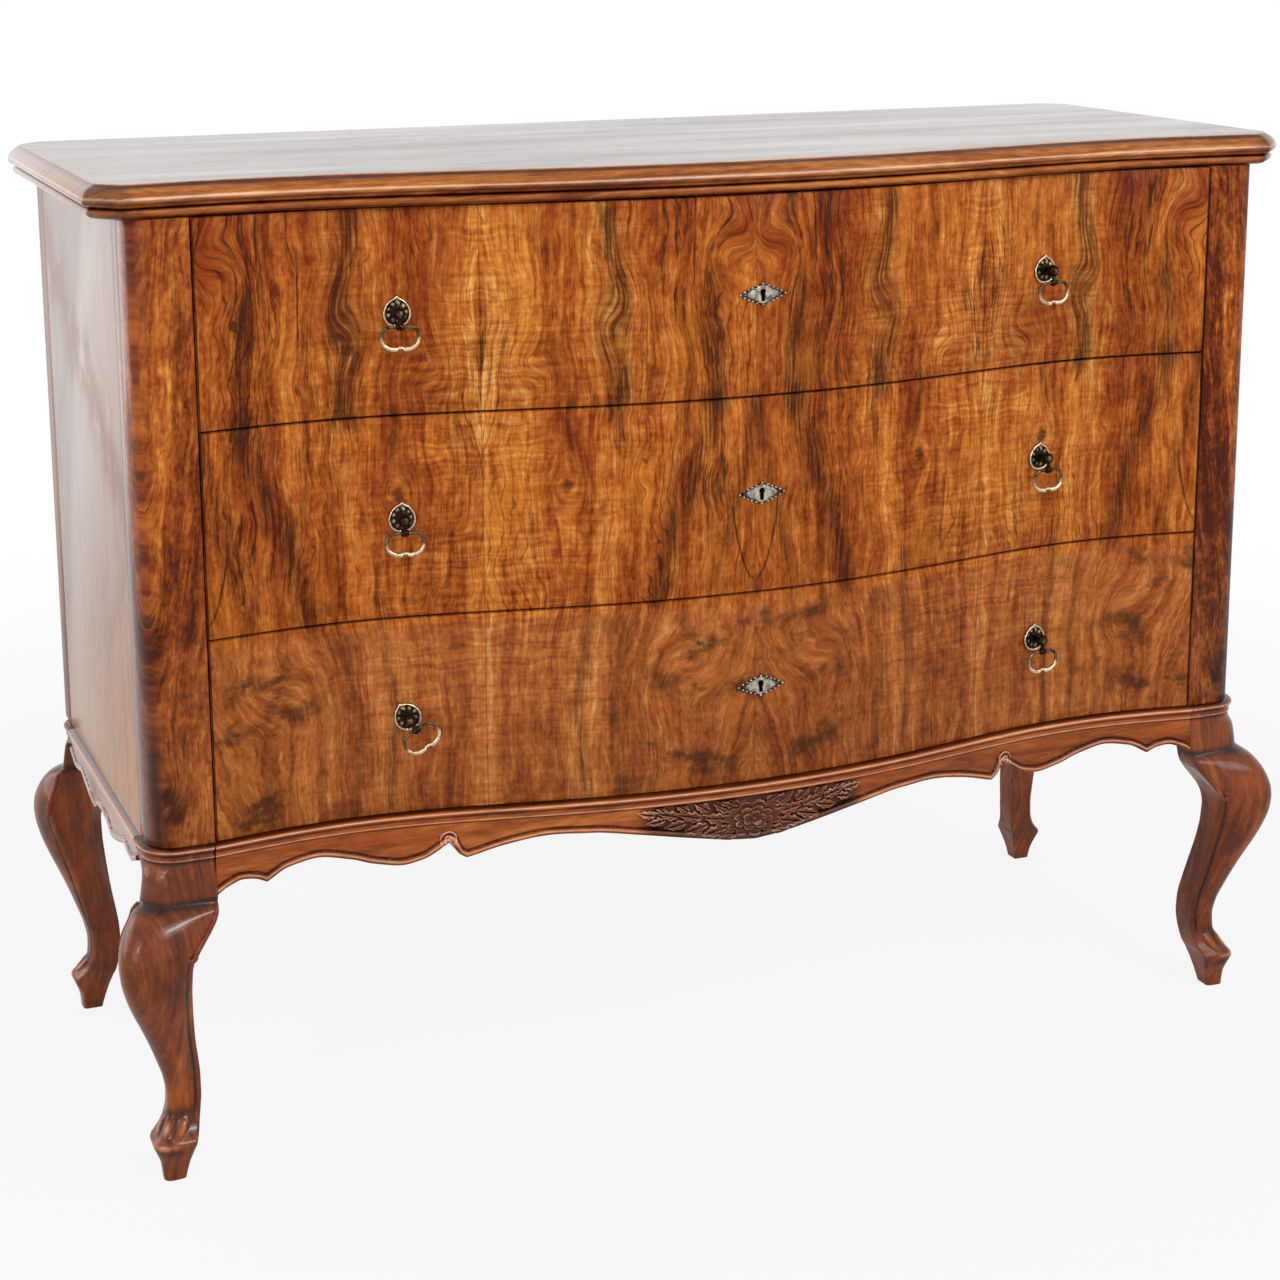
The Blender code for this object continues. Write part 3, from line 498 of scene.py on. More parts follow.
def front_gap_shade(finish, inside):
    """Painted shade in the gaps round the drawer fronts and in the keyholes, on faces that look ahead."""
    row = (finish.z - case_bottom).folded(row_pitch / 2)
    gap_shade_start = opening_half_width - gap_shade_half_width
    side = finish.x.size().rise(gap_shade_start - gap_shade_fade, gap_shade_start)
    gap_shade = (1.0 - row.rise(0.0008, 0.0019)) + side
    hole = (finish.x - key_x).bell(0.0, keyhole_shade_width) * (row - row_pitch / 2).bell(0.0, keyhole_shade_height)
    ahead = (finish.facing_back * -1.0).rise(0.3, 0.7)
    # Painted shade: near black along the gaps between the drawers and in the keyholes
    finish.tint((gap_shade * ahead + hole * 1.5 * (1.0 - inside)).held() * 0.92, gap_shade_brown)


def drawer_veneer():
    """Four veneer leaves opened like a book about the middle and about each half's middle."""
    finish = Finish("matched_walnut_veneer", 0.40, coat=front_polish, coat_roughness=0.15, shine=0.07)
    x, z = finish.x, finish.z
    across = x.folded(leaf_width)
    leaf = finish.reckon("FLOOR", (x + 2 * leaf_width) / leaf_width)
    grain = across + finish.noise(across * 7.0, z * 5.0, detail=2.0) * 0.009
    grain = grain + finish.noise(x * 9.0, z * 8.0, detail=3.0) * 0.0022
    grain, heart = drawn_by_knots(finish, across, z, grain)
    below = (lower_front_top - z).held()
    crotch = below.rise(0.0, 0.02)
    grain = grain + below * across.bell(0.0, 0.11) * -0.35
    mottle = finish.noise(across * 26.0, z * 30.0, leaf * 0.2, detail=4.0, rough=0.62)
    grain = grain + mottle * crotch * across.bell(0.04, 0.11) * 0.006
    tone, dark = figure(finish, grain, z, 1.0, leaf)
    dark = dark * (1.0 - crotch * 0.55)
    wander = finish.noise(z * 10.0, across * 3.0, detail=5.0, rough=0.6) * 0.011
    dark = streaked(finish, z, grain, wander, dark)
    rings = (heart * 5.0 + finish.noise(across * 45.0, z * 45.0, detail=3.0) * 0.55).folded(1.0)
    dark = dark + rings.rise(0.35, 1.0) * heart.rise(0.30, 0.95) * 0.8
    cloud = finish.noise(across * 17.0 - z * 8.0, z * 24.0, leaf * 0.2, detail=5.0, rough=0.62)
    dark = dark + cloud.rise(-0.05, 0.70) * crotch * (across.bell(0.04, 0.09) + 0.12) * 1.05
    smoke = finish.noise(across * 11.0, z * 6.0, detail=3.0).rise(0.35, 1.1)
    dark = dark + smoke * (0.2 + across.bell(0.0, 0.07)) * 0.45
    arch = finish.reckon("SQRT", ((z - arch_foot) / arch_height).held()) * arch_half_width
    arch_line = (across - arch + wander * 0.1).bell(0.0, 0.0013)
    dark = dark + arch_line * z.rise(0.53, 0.545) * (1.0 - z.rise(0.59, 0.63)) * 0.9
    waver = finish.noise(across * 30.0, z * 30.0) * 0.004
    ripple = finish.noise(across * 16.0, (z + waver) * 230.0, detail=3.0)
    curl = finish.noise(across * 9.0, z * 7.0).rise(-0.9, 0.5) * across.rise(0.03, 0.20)
    tone = tone + ripple * (curl * 0.20 + 0.02)
    tone = tone + across.rise(0.16, leaf_width) * 0.10 + leaf.folded(1.0) * 0.05 + crotch * 0.03
    finish.shown = finish.ramp(tone, walnut_stops)
    red = finish.noise(across * 14.0, z * 6.0, leaf * 0.4, detail=4.0, rough=0.6)
    finish.tint(red.rise(-0.1, 0.9) * 0.50, (134, 40, 7))
    finish.tint((red * -1.0).rise(0.1, 1.0) * 0.36, (228, 144, 42))
    finish.tint(crotch * 0.68, finish.ramp(tone * 0.85 + mottle * 0.10 + 0.06, crotch_stops))
    finish.tint(dark.held() * 0.84, finish.blend(crotch, vein_brown, smoke_brown))
    seam = across.bell(leaf_width, 0.0005) + across.bell(0.0, 0.0004)
    finish.tint(seam.held() * 0.6, vein_brown)
    inside = finish.facing_back.rise(0.3, 0.7)
    front_gap_shade(finish, inside)
    bare = finish.noise(z * 60.0, x * 2.0, detail=4.0) * 0.2 + 0.5
    finish.tint(inside, finish.ramp(bare, poplar_stops))
    finish.feed("Coat Weight", front_polish - inside * front_polish)
    scrape = finish.noise(x * 26.0, z * 520.0 + x * 60.0, detail=3.0).rise(0.35, 0.9)
    worn = (x + scrape_out).bell(0.0, 0.024) * (z - scrape_z - (x + scrape_out) * 0.12).bell(0.0, 0.0045)
    finish.tint((scrape * worn).held() * 0.75, (226, 176, 122))
    pore = veneer_pores(finish, across, z)
    return finish.finished(tone * 0.6 + pore * -1.0, 0.00010, 0.38 + tone * -0.06)


# Knots low on the posts: distance from the chest's middle, and height
post_knots = [(0.571, 0.381), (0.563, 0.361)]
burl_out = 0.567
burl_height = 0.371


def post_veneer(name, side, darker, corner, strength):
    """Post's veneer: golden beside the drawers, brown round the corner and towards the foot."""
    finish = Finish(name, 0.38, coat=0.10, coat_roughness=0.14, shine=0.09)
    z = finish.z
    out = finish.x * side
    across = out - finish.y
    grain = across + finish.noise(across * 9.0, z * 5.0, detail=2.0) * 0.008 + z * 0.10
    burl = out.bell(burl_out, 0.016) * z.bell(burl_height, 0.030)
    grain = grain + (z - burl_height) * burl * 0.45
    tone, line = figure(finish, grain, z, 1.1)
    edge = (case_top - z) * 0.036 + (0.556 - out) + finish.noise(across * 30.0, z * 9.0, detail=3.0) * 0.006
    brown = 1.0 - edge.rise(-0.026, 0.004)
    blotch = finish.noise(across * 26.0, z * 7.0 + across * 20.0, detail=4.0, rough=0.6)
    tone = tone * strength + 0.46 * (1.0 - strength) + blotch * 0.12 - brown * corner - darker
    turned_away = finish.y.rise(0.005 - plan_shift, 0.017 - plan_shift)
    finish.feed("Coat Weight", turned_away * 0.9 + 0.10)
    low_down = 1.0 - z.rise(0.40, 0.66)
    finish.shown = finish.ramp(tone, walnut_stops)
    finish.tint(low_down * 0.55, finish.ramp(tone, crotch_stops))
    cloud = finish.noise(across * 34.0, z * 16.0, detail=4.0).rise(0.0, 0.8)
    dark = line + cloud * (brown * 0.5 + darker) + burl * 0.5
    for place, height in post_knots:
        dark = dark + out.bell(place, 0.0055) * (z + blotch * 0.004).bell(height, 0.0075) * 0.9
    finish.tint(dark.held() * 0.85, vein_brown)
    strip = (out + blotch * 0.002).bell(0.582, 0.0065) * (1.0 - z.rise(0.40, 0.52))
    finish.tint(strip * 0.88, (62, 38, 32))
    pore = veneer_pores(finish, across, z)
    return finish.finished(tone * 0.6 + pore * -1.0, 0.00012)


side_seam = 0.290 - plan_shift
seam_spacing = 0.195
dull_height = 0.62
dull_lean = 0.55


def panel_veneer():
    """Side panels: veneer in two leaves under a hard shine that a slanting dull patch breaks."""
    finish = Finish("side_walnut_veneer", 0.34, coat=1.0, coat_roughness=0.17)
    y, z = finish.y, finish.z
    grain = y + finish.noise(y * 6.0, z * 3.0, detail=2.0) * 0.010
    tone, line = figure(finish, grain, z, 0.8)
    slant = y * 0.75 + z * 0.66
    band = finish.noise(slant * 16.0, (y - z) * 2.2, detail=4.0, rough=0.6).rise(-0.1, 0.9)
    tone = tone * 0.45 + 0.30 - band * 0.16
    foot = 1.0 - z.rise(0.34, 0.62)
    tone = tone + foot * 0.06
    finish.shown = finish.ramp(tone, panel_stops)
    finish.tint(foot * 0.55, finish.ramp(tone, foot_stops))
    finish.tint(line.held() * 0.30, vein_brown)
    ragged = finish.noise(y * 26.0, z * 18.0, detail=4.0, rough=0.6) * 0.035
    fall = z - dull_height - (y + plan_shift) * dull_lean + ragged
    dull = fall.bell(0.0, 0.050) * finish.noise(y * 34.0, z * 22.0, detail=3.0).rise(-0.8, 0.0)
    dull = (dull + band * 0.25).held()
    finish.tint(dull * 0.6, (140, 82, 56))
    finish.feed("Coat Weight", 0.97 - foot * 0.22 - dull * 0.62)
    seam = ((y - side_seam).bell(0.0, 0.0007) + (y - side_seam + seam_spacing).bell(0.0, 0.0005)).held()
    finish.tint(seam * 0.85, vein_brown)
    scuff = finish.noise(y * 60.0, z * 40.0, detail=5.0, rough=0.7).rise(0.75, 1.1)
    return finish.finished(tone - seam * 2.0, 0.00014, 0.32 + scuff * 0.15)


def top_veneer():
    """Top: walnut whose grain runs from end to end, under a hard shine that is dull in places."""
    finish = Finish("top_walnut_veneer", 0.32, coat=1.0, coat_roughness=0.16, shine=0.36)
    x, y = finish.x, finish.y
    grain = y + finish.noise(y * 7.0, x * 3.0, detail=2.0) * 0.012
    tone, line = figure(finish, grain, x, 0.8)
    line = line.held()
    finish.shown = finish.ramp(tone, top_stops)
    finish.tint(line * 0.9, (22, 10, 7))
    dull = finish.noise(y * 30.0, x * 4.0, detail=5.0, rough=0.65)
    cloudy = finish.noise(y * 22.0, x * 2.2, detail=4.0)
    polish = 0.76 + cloudy * 0.26 + dull * 0.18 - line * 0.24
    finish.feed("Coat Weight", polish.held())
    return finish.finished(tone, 0.00018, 0.32 + dull * 0.05)


cant_reach = case_half_width + top_side_overhang + top_front_overhang + plan_shift - top_cant


# rubbed: how strongly the pale painted highlight, partly real rubbing, shows
def solid_walnut(name, along, stops, coat, rubbed, fine=1.0, mottle=0.0, shiny_from=None, shine=0.10):
    """Solid polished wood, with painted shade in its hollows and painted highlights, partly rubbing, on its
    high places.

    From the distance shiny_from to either side, its coat is full, as on the ends of the top.
    """
    finish = Finish(name, 0.30, coat=coat, coat_roughness=0.10, shine=shine)
    ways = {"x": (finish.z, finish.y, finish.x), "y": (finish.z, finish.x, finish.y),
            "z": (finish.x, finish.y, finish.z)}
    first, second, length = ways[along]
    across = first + second * 0.6
    grain = across + finish.noise(length * 4.0, across * 8.0, detail=2.0) * 0.006
    streak = finish.noise(grain * 90.0, length * 3.0, detail=7.0, rough=0.68)
    broad = finish.noise(grain * 22.0, length * 3.0, detail=3.0)
    fleck = finish.noise(grain * 300.0, length * 50.0, detail=3.0)
    tone = 0.5 + streak * 0.22 * fine + broad * 0.15 + fleck * 0.12 * fine
    # Point level set on each mesh: real wear, painted highlights and painted shade
    wear_and_painted_light = finish.attribute("wear_and_painted_light")
    chafe = finish.noise(first * 120.0, length * 60.0, second * 120.0, detail=4.0, rough=0.7)
    finish.shown = finish.ramp(tone + wear_and_painted_light * 0.42, stops)
    if mottle:
        drift = 22.0 if along == "z" else 7.0
        cloud = finish.noise(first * 42.0, length * drift, second * 42.0, detail=5.0, rough=0.66)
        finish.tint(cloud.rise(0.0, 0.9) * mottle, (54, 18, 7))
        finish.tint((cloud * -1.0).rise(0.0, 1.0) * mottle * 0.8, (178, 76, 24))
    carved = finish.attribute("carved")
    finish.tint(carved * 0.85, finish.ramp(tone * 0.6 + wear_and_painted_light * 0.30, carved_stops))
    patchy = finish.noise(first * 75.0, length * 75.0, second * 75.0, detail=2.0).rise(-0.1, 0.8)
    rub_and_sheen = (wear_and_painted_light * 1.3 - 0.42 + chafe * 0.30).held() * (1.0 - carved * (1.0 - patchy) * 0.85)
    # Painted highlight: pale pink on crests and beads, partly real rubbing
    finish.tint(rub_and_sheen * rubbed, (238, 204, 184))
    # Painted shade: near black in hollows, grooves and creases
    hollow_shade = (wear_and_painted_light * -1.1 + chafe * 0.12).held()
    finish.tint(hollow_shade * 0.9, (34, 13, 7))
    pore = finish.noise(across * 900.0, length * 60.0, detail=1.0).rise(0.8, 1.3)
    finish.tint(pore * 0.4, pore_brown)
    if shiny_from is not None:
        cant = (finish.x.size() - finish.y).rise(cant_reach - 0.020, cant_reach - 0.008)
        finish.tint(cant * (0.45 + chafe * 0.2), (52, 24, 18))
        end = finish.x.size().rise(shiny_from, shiny_from + 0.02)
        finish.feed("Coat Weight", end * (1.0 - coat) + coat)
    return finish.finished(streak * 0.4 + pore * -1.0, 0.00015)


def bare_wood(name, along):
    """Planed secondary timber inside the case, grown darker with age."""
    finish = Finish(name, 0.62)
    side, length = (finish.y, finish.x) if along == "x" else (finish.x, finish.y)
    across = finish.z + side * 0.45
    grain = across + finish.noise(length * 2.5, across * 5.0, detail=2.0) * 0.008
    streak = finish.noise(grain * 110.0, length * 2.0, detail=5.0)
    ring = (finish.noise(grain * 14.0, length * 0.9, detail=2.0) * 4.0).folded(1.0)
    finish.shown = finish.ramp(0.45 + streak * 0.16 + ring * 0.14, poplar_stops)
    grime = finish.noise(finish.x * 5.0, finish.y * 5.0, finish.z * 5.0).rise(-0.2, 1.4)
    finish.tint(grime * 0.45, (98, 66, 42))
    return finish.finished(streak, 0.0003, 0.58 + streak * 0.06)


metal_spots = 210.0


def old_metal(name, bright, dull, roughness):
    """Cast metal, rubbed bright on its high places and brown in its hollows."""
    finish = Finish(name, roughness, metallic=1.0)
    places = (finish.x, finish.y, finish.z)
    fine = finish.noise(*[place * metal_spots * 4 for place in places], detail=4.0)
    patch = finish.noise(*[place * metal_spots for place in places], detail=3.0)
    wear_and_painted_light = finish.attribute("wear_and_painted_light")
    level = 0.5 + wear_and_painted_light * 0.9 + patch * 0.30 + fine * 0.12
    middle = tuple(int(high * 0.42 + low * 0.58) for high, low in zip(bright, dull))
    finish.shown = finish.ramp(level, [(0.05, dull), (0.45, middle), (0.85, bright)])
    return finish.finished(fine, 0.00006, roughness + patch * 0.07 - wear_and_painted_light * 0.10)


veneer = drawer_veneer()
post_finishes = {
    "left": post_veneer("left_post_veneer", -1, darker=0.10, corner=0.20, strength=1.0),
    "right": post_veneer("right_post_veneer", 1, darker=0.26, corner=0.10, strength=1.2),
}
side_veneer = panel_veneer()
top_wood = top_veneer()
dark_stops = [(0.0, (44, 12, 2)), (0.25, (80, 30, 5)), (0.5, (122, 55, 16)), (0.75, (166, 88, 34)),
              (1.0, (210, 136, 72))]
apron_stops = [(0.0, (76, 26, 5)), (0.25, (122, 52, 12)), (0.5, (166, 84, 30)), (0.75, (204, 118, 54)),
               (1.0, (236, 162, 94))]
gold_stops = [(0.0, (70, 18, 3)), (0.25, (116, 50, 10)), (0.5, (164, 88, 32)), (0.75, (202, 126, 58)),
              (1.0, (240, 180, 110))]
leg_walnut = solid_walnut("leg_walnut", "z", dark_stops, coat=0.45, rubbed=0.60, fine=1.1, mottle=0.75)
# Rails: darker, duller walnut that stands in for the shade inside the drawer gaps
rail_shade_walnut = solid_walnut("rail_shade_walnut", "x", dark_stops, coat=0.1, rubbed=0.1)
apron_walnut = solid_walnut("apron_walnut", "x", apron_stops, coat=0.30, rubbed=0.80, fine=1.2, mottle=0.55)
side_apron_walnut = solid_walnut("side_apron_walnut", "y", apron_stops, coat=1.0, rubbed=0.80, mottle=0.40,
                                 shine=0.5)
moulding_walnut = solid_walnut("moulding_walnut", "x", gold_stops, coat=0.30, rubbed=0.80, fine=1.5,
                               mottle=0.30, shiny_from=0.598)
poplar = bare_wood("aged_poplar", "x")
side_poplar = bare_wood("drawer_side_poplar", "y")
brass = old_metal("rubbed_brass", bright=(226, 198, 162), dull=(38, 28, 20), roughness=0.30)
nickel = old_metal("worn_nickel", bright=(204, 194, 180), dull=(34, 26, 20), roughness=0.34)
iron = old_metal("lock_iron", bright=(92, 86, 80), dull=(36, 32, 28), roughness=0.50)


# Meshes


def stood(name, data):
    """New object in the scene."""
    thing = bpy.data.objects.new(name, data)
    bpy.context.scene.collection.objects.link(thing)
    return thing


def adopt(name, mesh, body, slot, material, *replaced):
    """Makes a finished piece of a mesh, hangs it on its body and hides the solids it replaces."""
    piece = stood(name, mesh)
    if material is not None:
        mesh.materials.clear()
        mesh.materials.append(material)
    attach(piece, body)
    if replaced:
        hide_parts(*replaced)
    return piece


def turn_out(mesh):
    """Merges doubled points and makes every face look outwards."""
    work = bmesh.new()
    work.from_mesh(mesh)
    bmesh.ops.remove_doubles(work, verts=work.verts, dist=weld_distance)
    bmesh.ops.recalc_face_normals(work, faces=work.faces)
    work.to_mesh(mesh)
    work.free()


def shade(mesh, angle):
    """Smooth shading, but for edges sharper than an angle."""
    mesh.shade_smooth()
    mesh.set_sharp_from_angle(angle=radians(angle))
    return mesh


def store_point_values(mesh, values, name="wear_and_painted_light"):
    layer = mesh.attributes.new(name, "FLOAT", "POINT")
    layer.data.foreach_set("value", np.asarray(values, np.float32))


def worn(mesh, level):
    """The mesh, with the same wear all over."""
    store_point_values(mesh, np.full(len(mesh.vertices), level))
    return mesh


def ring_solid(name, rings, angle, wear_and_painted_light=None, carved=None, loop=False):
    """Skin through rings of as many points each, with flat ends, or joined last to first."""
    points = np.array(rings, float)
    count, size = points.shape[:2]
    mesh = bpy.data.meshes.new(name)
    index = np.arange(count * size).reshape(count, size)
    here, there = (index, np.roll(index, -1, 0)) if loop else (index[:-1], index[1:])
    quads = np.stack([here, np.roll(here, -1, 1), np.roll(there, -1, 1), there], -1)
    faces = quads.reshape(-1, 4).tolist()
    if not loop:
        faces += [index[0][::-1].tolist(), index[-1].tolist()]
    mesh.from_pydata(points.reshape(-1, 3).tolist(), [], faces)
    for label, values in (("wear_and_painted_light", wear_and_painted_light), ("carved", carved)):
        if values is not None:
            store_point_values(mesh, np.array(values, float).reshape(-1), label)
    turn_out(mesh)
    return shade(mesh, angle)


def eased_copy(node, material, body, slot, ease=0.0007):
    """Copy of a solid's mesh with its faces joined and its edges eased."""
    mesh = nodes[node].data.copy()
    work = bmesh.new()
    work.from_mesh(mesh)
    bmesh.ops.remove_doubles(work, verts=work.verts, dist=weld_distance)
    bmesh.ops.dissolve_limit(work, angle_limit=radians(0.2), verts=work.verts, edges=work.edges)
    work.to_mesh(mesh)
    work.free()
    mesh.shade_smooth()
    draft = stood(f"{node}_draft", mesh)
    bevel = draft.modifiers.new("ease", "BEVEL")
    bevel.width = ease
    bevel.segments = 2
    bevel.limit_method = "ANGLE"
    bevel.angle_limit = radians(50)
    bevel.harden_normals = True
    final = bpy.data.meshes.new_from_object(draft.evaluated_get(bpy.context.evaluated_depsgraph_get()))
    bpy.data.objects.remove(draft)
    final.name = f"{node}_eased"
    return adopt(f"{node}_eased", final, body, slot, material, node)


def nodes_group(name, sizes):
    """Geometry tree with a mesh in and out and named sizes, with its two end nodes."""
    group = bpy.data.node_groups.new(name, "GeometryNodeTree")
    sockets = [("Geometry", "INPUT", "Geometry")] + [(size, "INPUT", "Float") for size in sizes]
    sockets += [("Finish", "INPUT", "Material"), ("Geometry", "OUTPUT", "Geometry")]
    for label, way, kind in sockets:
        group.interface.new_socket(label, in_out=way, socket_type=f"NodeSocket{kind}")
    return group, group.nodes.new("NodeGroupInput"), group.nodes.new("NodeGroupOutput")


def finish_group(group, inward, outward, socket):
    """Ends a tree in real geometry with its finish set."""
    real = put(group, "GeometryNodeRealizeInstances", {"Geometry": socket})
    smoothed = put(group, "GeometryNodeSetShadeSmooth", {"Geometry": real.outputs[0]})
    coat = put(group, "GeometryNodeSetMaterial", {"Geometry": smoothed.outputs[0],
                                                  "Material": inward.outputs["Finish"]})
    group.links.new(coat.outputs[0], outward.inputs["Geometry"])
    return group


def wire_group():
    """Round wire along the edges of a path, as thick as its swell says."""
    group, inward, outward = nodes_group("wire_along_path", ["Wire radius"])
    curve = put(group, "GeometryNodeMeshToCurve", {"Mesh": inward.outputs["Geometry"]})
    swell = put(group, "GeometryNodeInputNamedAttribute", {"Name": "swell"}, data_type="FLOAT")
    size = put(group, "ShaderNodeMath", {0: swell.outputs[0], 1: inward.outputs["Wire radius"]},
               operation="MULTIPLY")
    circle = put(group, "GeometryNodeCurvePrimitiveCircle", {"Resolution": 14, "Radius": 1.0})
    sweep = put(group, "GeometryNodeCurveToMesh", {
        "Curve": curve.outputs["Curve"], "Profile Curve": circle.outputs["Curve"], "Scale": size.outputs[0],
        "Fill Caps": True})
    return finish_group(group, inward, outward, sweep.outputs["Mesh"])


def dot_group():
    """Low dome at every point of a path, pressed flat along the point's outward way."""
    group, inward, outward = nodes_group("domes_on_points", ["Dome radius", "Flatness"])
    points = put(group, "GeometryNodeMeshToPoints", {"Mesh": inward.outputs["Geometry"]})
    ball = put(group, "GeometryNodeMeshUVSphere", {"Segments": 10, "Rings": 7,
                                                   "Radius": inward.outputs["Dome radius"]})
    way = put(group, "GeometryNodeInputNamedAttribute", {"Name": "way"}, data_type="FLOAT_VECTOR")
    turn = put(group, "FunctionNodeAlignRotationToVector", {"Vector": way.outputs[0]}, axis="Z")
    scale = put(group, "ShaderNodeCombineXYZ", {0: 1.0, 1: 1.0, 2: inward.outputs["Flatness"]})
    stamp = put(group, "GeometryNodeInstanceOnPoints", {
        "Points": points.outputs["Points"], "Instance": ball.outputs["Mesh"],
        "Rotation": turn.outputs["Rotation"], "Scale": scale.outputs[0]})
    return finish_group(group, inward, outward, stamp.outputs["Instances"])


def grown(group, name, mesh, sizes, material):
    """Plain mesh that a geometry tree makes of a guide mesh."""
    guide = stood(name, mesh)
    growth = guide.modifiers.new("growth", "NODES")
    growth.node_group = group
    for item in group.interface.items_tree:
        if item.in_out == "INPUT" and item.name in sizes:
            growth[item.identifier] = sizes[item.name]
        elif item.in_out == "INPUT" and item.name == "Finish":
            growth[item.identifier] = material
    depsgraph = bpy.context.evaluated_depsgraph_get()
    result = bpy.data.meshes.new_from_object(guide.evaluated_get(depsgraph))
    bpy.data.objects.remove(guide)
    result.name = name
    return result


wire_tree = wire_group()
dot_tree = dot_group()


def wire_along(name, points, swell, radius, closed):
    """Wire through points, as thick at each as its swell says."""
    mesh = bpy.data.meshes.new(f"{name}_path")
    count = len(points)
    edges = [(index, (index + 1) % count) for index in range(count if closed else count - 1)]
    mesh.from_pydata([tuple(point) for point in points], edges, [])
    store_point_values(mesh, swell, "swell")
    result = grown(wire_tree, name, mesh, {"Wire radius": radius}, leg_walnut)
    turn_out(result)
    return shade(result, 60)


def domes_at(name, points, way, radius, flatness, material):
    """Domes that all look one way, along or against Y."""
    mesh = bpy.data.meshes.new(f"{name}_points")
    mesh.from_pydata([tuple(point) for point in points], [], [])
    layer = mesh.attributes.new("way", "FLOAT_VECTOR", "POINT")
    layer.data.foreach_set("vector", np.array([(0, way, 0)] * len(points), np.float32).reshape(-1))
    return grown(dot_tree, name, mesh, {"Dome radius": radius, "Flatness": flatness}, material)


def eased_corners(points, radius):
    """Outline with its sharp corners rounded."""
    line = []
    count = len(points)
    for index, point in enumerate(points):
        here = Vector(point)
        before = Vector(points[index - 1]) - here
        after = Vector(points[(index + 1) % count]) - here
        if pi - before.angle(after) < sharp_turn:
            line.append(tuple(here))
            continue
        start = here + before.normalized() * radius
        end = here + after.normalized() * radius
        for t in spread(0, 1, corner_points):
            line.append(tuple(start * (1 - t) ** 2 + here * 2 * t * (1 - t) + end * t**2))
    return line


# Top

top_steps = 120
top_corner_round = 0.0025
top_nose_rows = 44
under_nose_rows = 18
# Painted highlight lines, level above 0, and painted shade lines, below 0, of each moulding: place from its
# top, half width, level
nose_light_lines = [(0.01, 0.030, 0.95), (0.12, 0.045, -0.75), (0.30, 0.120, 0.05), (0.60, 0.055, 0.90),
              (0.80, 0.050, -0.55), (1.00, 0.050, -0.80)]
under_nose_light_lines = [(0.00, 0.100, -0.90), (0.35, 0.120, 0.25), (0.80, 0.090, -0.35), (1.00, 0.060, -0.80)]
base_mould_light_lines = [(0.00, 0.050, -0.70), (0.19, 0.060, 0.95), (0.50, 0.070, -0.65), (0.85, 0.040, 0.80),
                    (1.00, 0.035, -0.80)]


def top_outline(inset):
    """Plan line of the top, drawn in by an inset: waved front, canted front and back corners."""
    half = case_half_width + top_side_overhang - inset
    cant = top_cant - inset * (2 - sqrt(2))
    wave_half = case_half_width + top_side_overhang - top_cant
    front_half = half - cant
    front_y = inset - top_front_overhang - plan_shift
    back_y = case_depth + top_back_overhang - inset - plan_shift
    line = []
    for x in spread(-front_half, front_half, top_steps):
        reach = float(wave(min(abs(x), wave_half), wave_half))
        line.append((x, front_y + top_bow_share * reach))
    corners = [(half, front_y + cant), (half, back_y - cant), (front_half, back_y),
               (-front_half, back_y), (-half, back_y - cant), (-half, front_y + cant)]
    return eased_corners(line + corners, top_corner_round)


def lined(lines, drop):
    """Painted highlight and shade level of a moulding, at places from 0 at its top to 1 at its foot."""
    return sum(level * bell(drop, place, width) for place, width, level in lines)


def moulded_board(name, node, low, high, rows, shares, lines):
    """Board of the top whose edge follows a moulding, with veneer on its upper face."""
    rings, wear_and_painted_light = [], []
    for drop in reversed(spread(0, 1, rows)):
        inset = float(smooth(shares, drop)) * top_nose_width
        ring = [(x, y, high - drop * (high - low)) for x, y in top_outline(inset)]
        rings.append(ring)
        wear_and_painted_light.append([float(lined(lines, drop))] * len(ring))
    mesh = ring_solid(name, rings, 30, wear_and_painted_light)
    mesh.materials.append(moulding_walnut)
    mesh.materials.append(top_wood)
    for face in mesh.polygons:
        face.material_index = 1 if face.normal.z > 0.999 else 0
    return adopt(name, mesh, "carcase", "moulded_walnut", None, node)


def make_top():
    moulded_board("moulded_top", "top_board", top_joint_height, top_height, top_nose_rows,
                  top_nose_shares, nose_light_lines)
    moulded_board("moulding_under_top", "under_top_board", case_top + fit_gap, top_joint_height - fit_gap,
                  under_nose_rows, under_nose_shares, under_nose_light_lines)


# Aprons with their bead and carving

mould_rows = 28
bead_radius = 0.0030
bead_height = 0.0024
quirk_place = 0.0066
quirk_width = 0.0008
quirk_depth = 0.0006
side_panel_thickness = 0.018
rose_x = -0.002
rose_z = 0.2925
rose_stretch = 1.75
carve_depth = 0.0021
carve_reach = 0.140
bud_height = 0.0060
stem_height = 0.0030
leaf_height = 0.0044
leaf_spread = 1.18
# Petals of the rose, from the outside: count, reach, half length, half width, height, first turn
petal_rows = [(11, 0.0128, 0.0060, 0.0046, 0.0036, 0.2), (8, 0.0080, 0.0052, 0.0041, 0.0047, 0.5),
              (5, 0.0042, 0.0040, 0.0034, 0.0056, 0.1)]
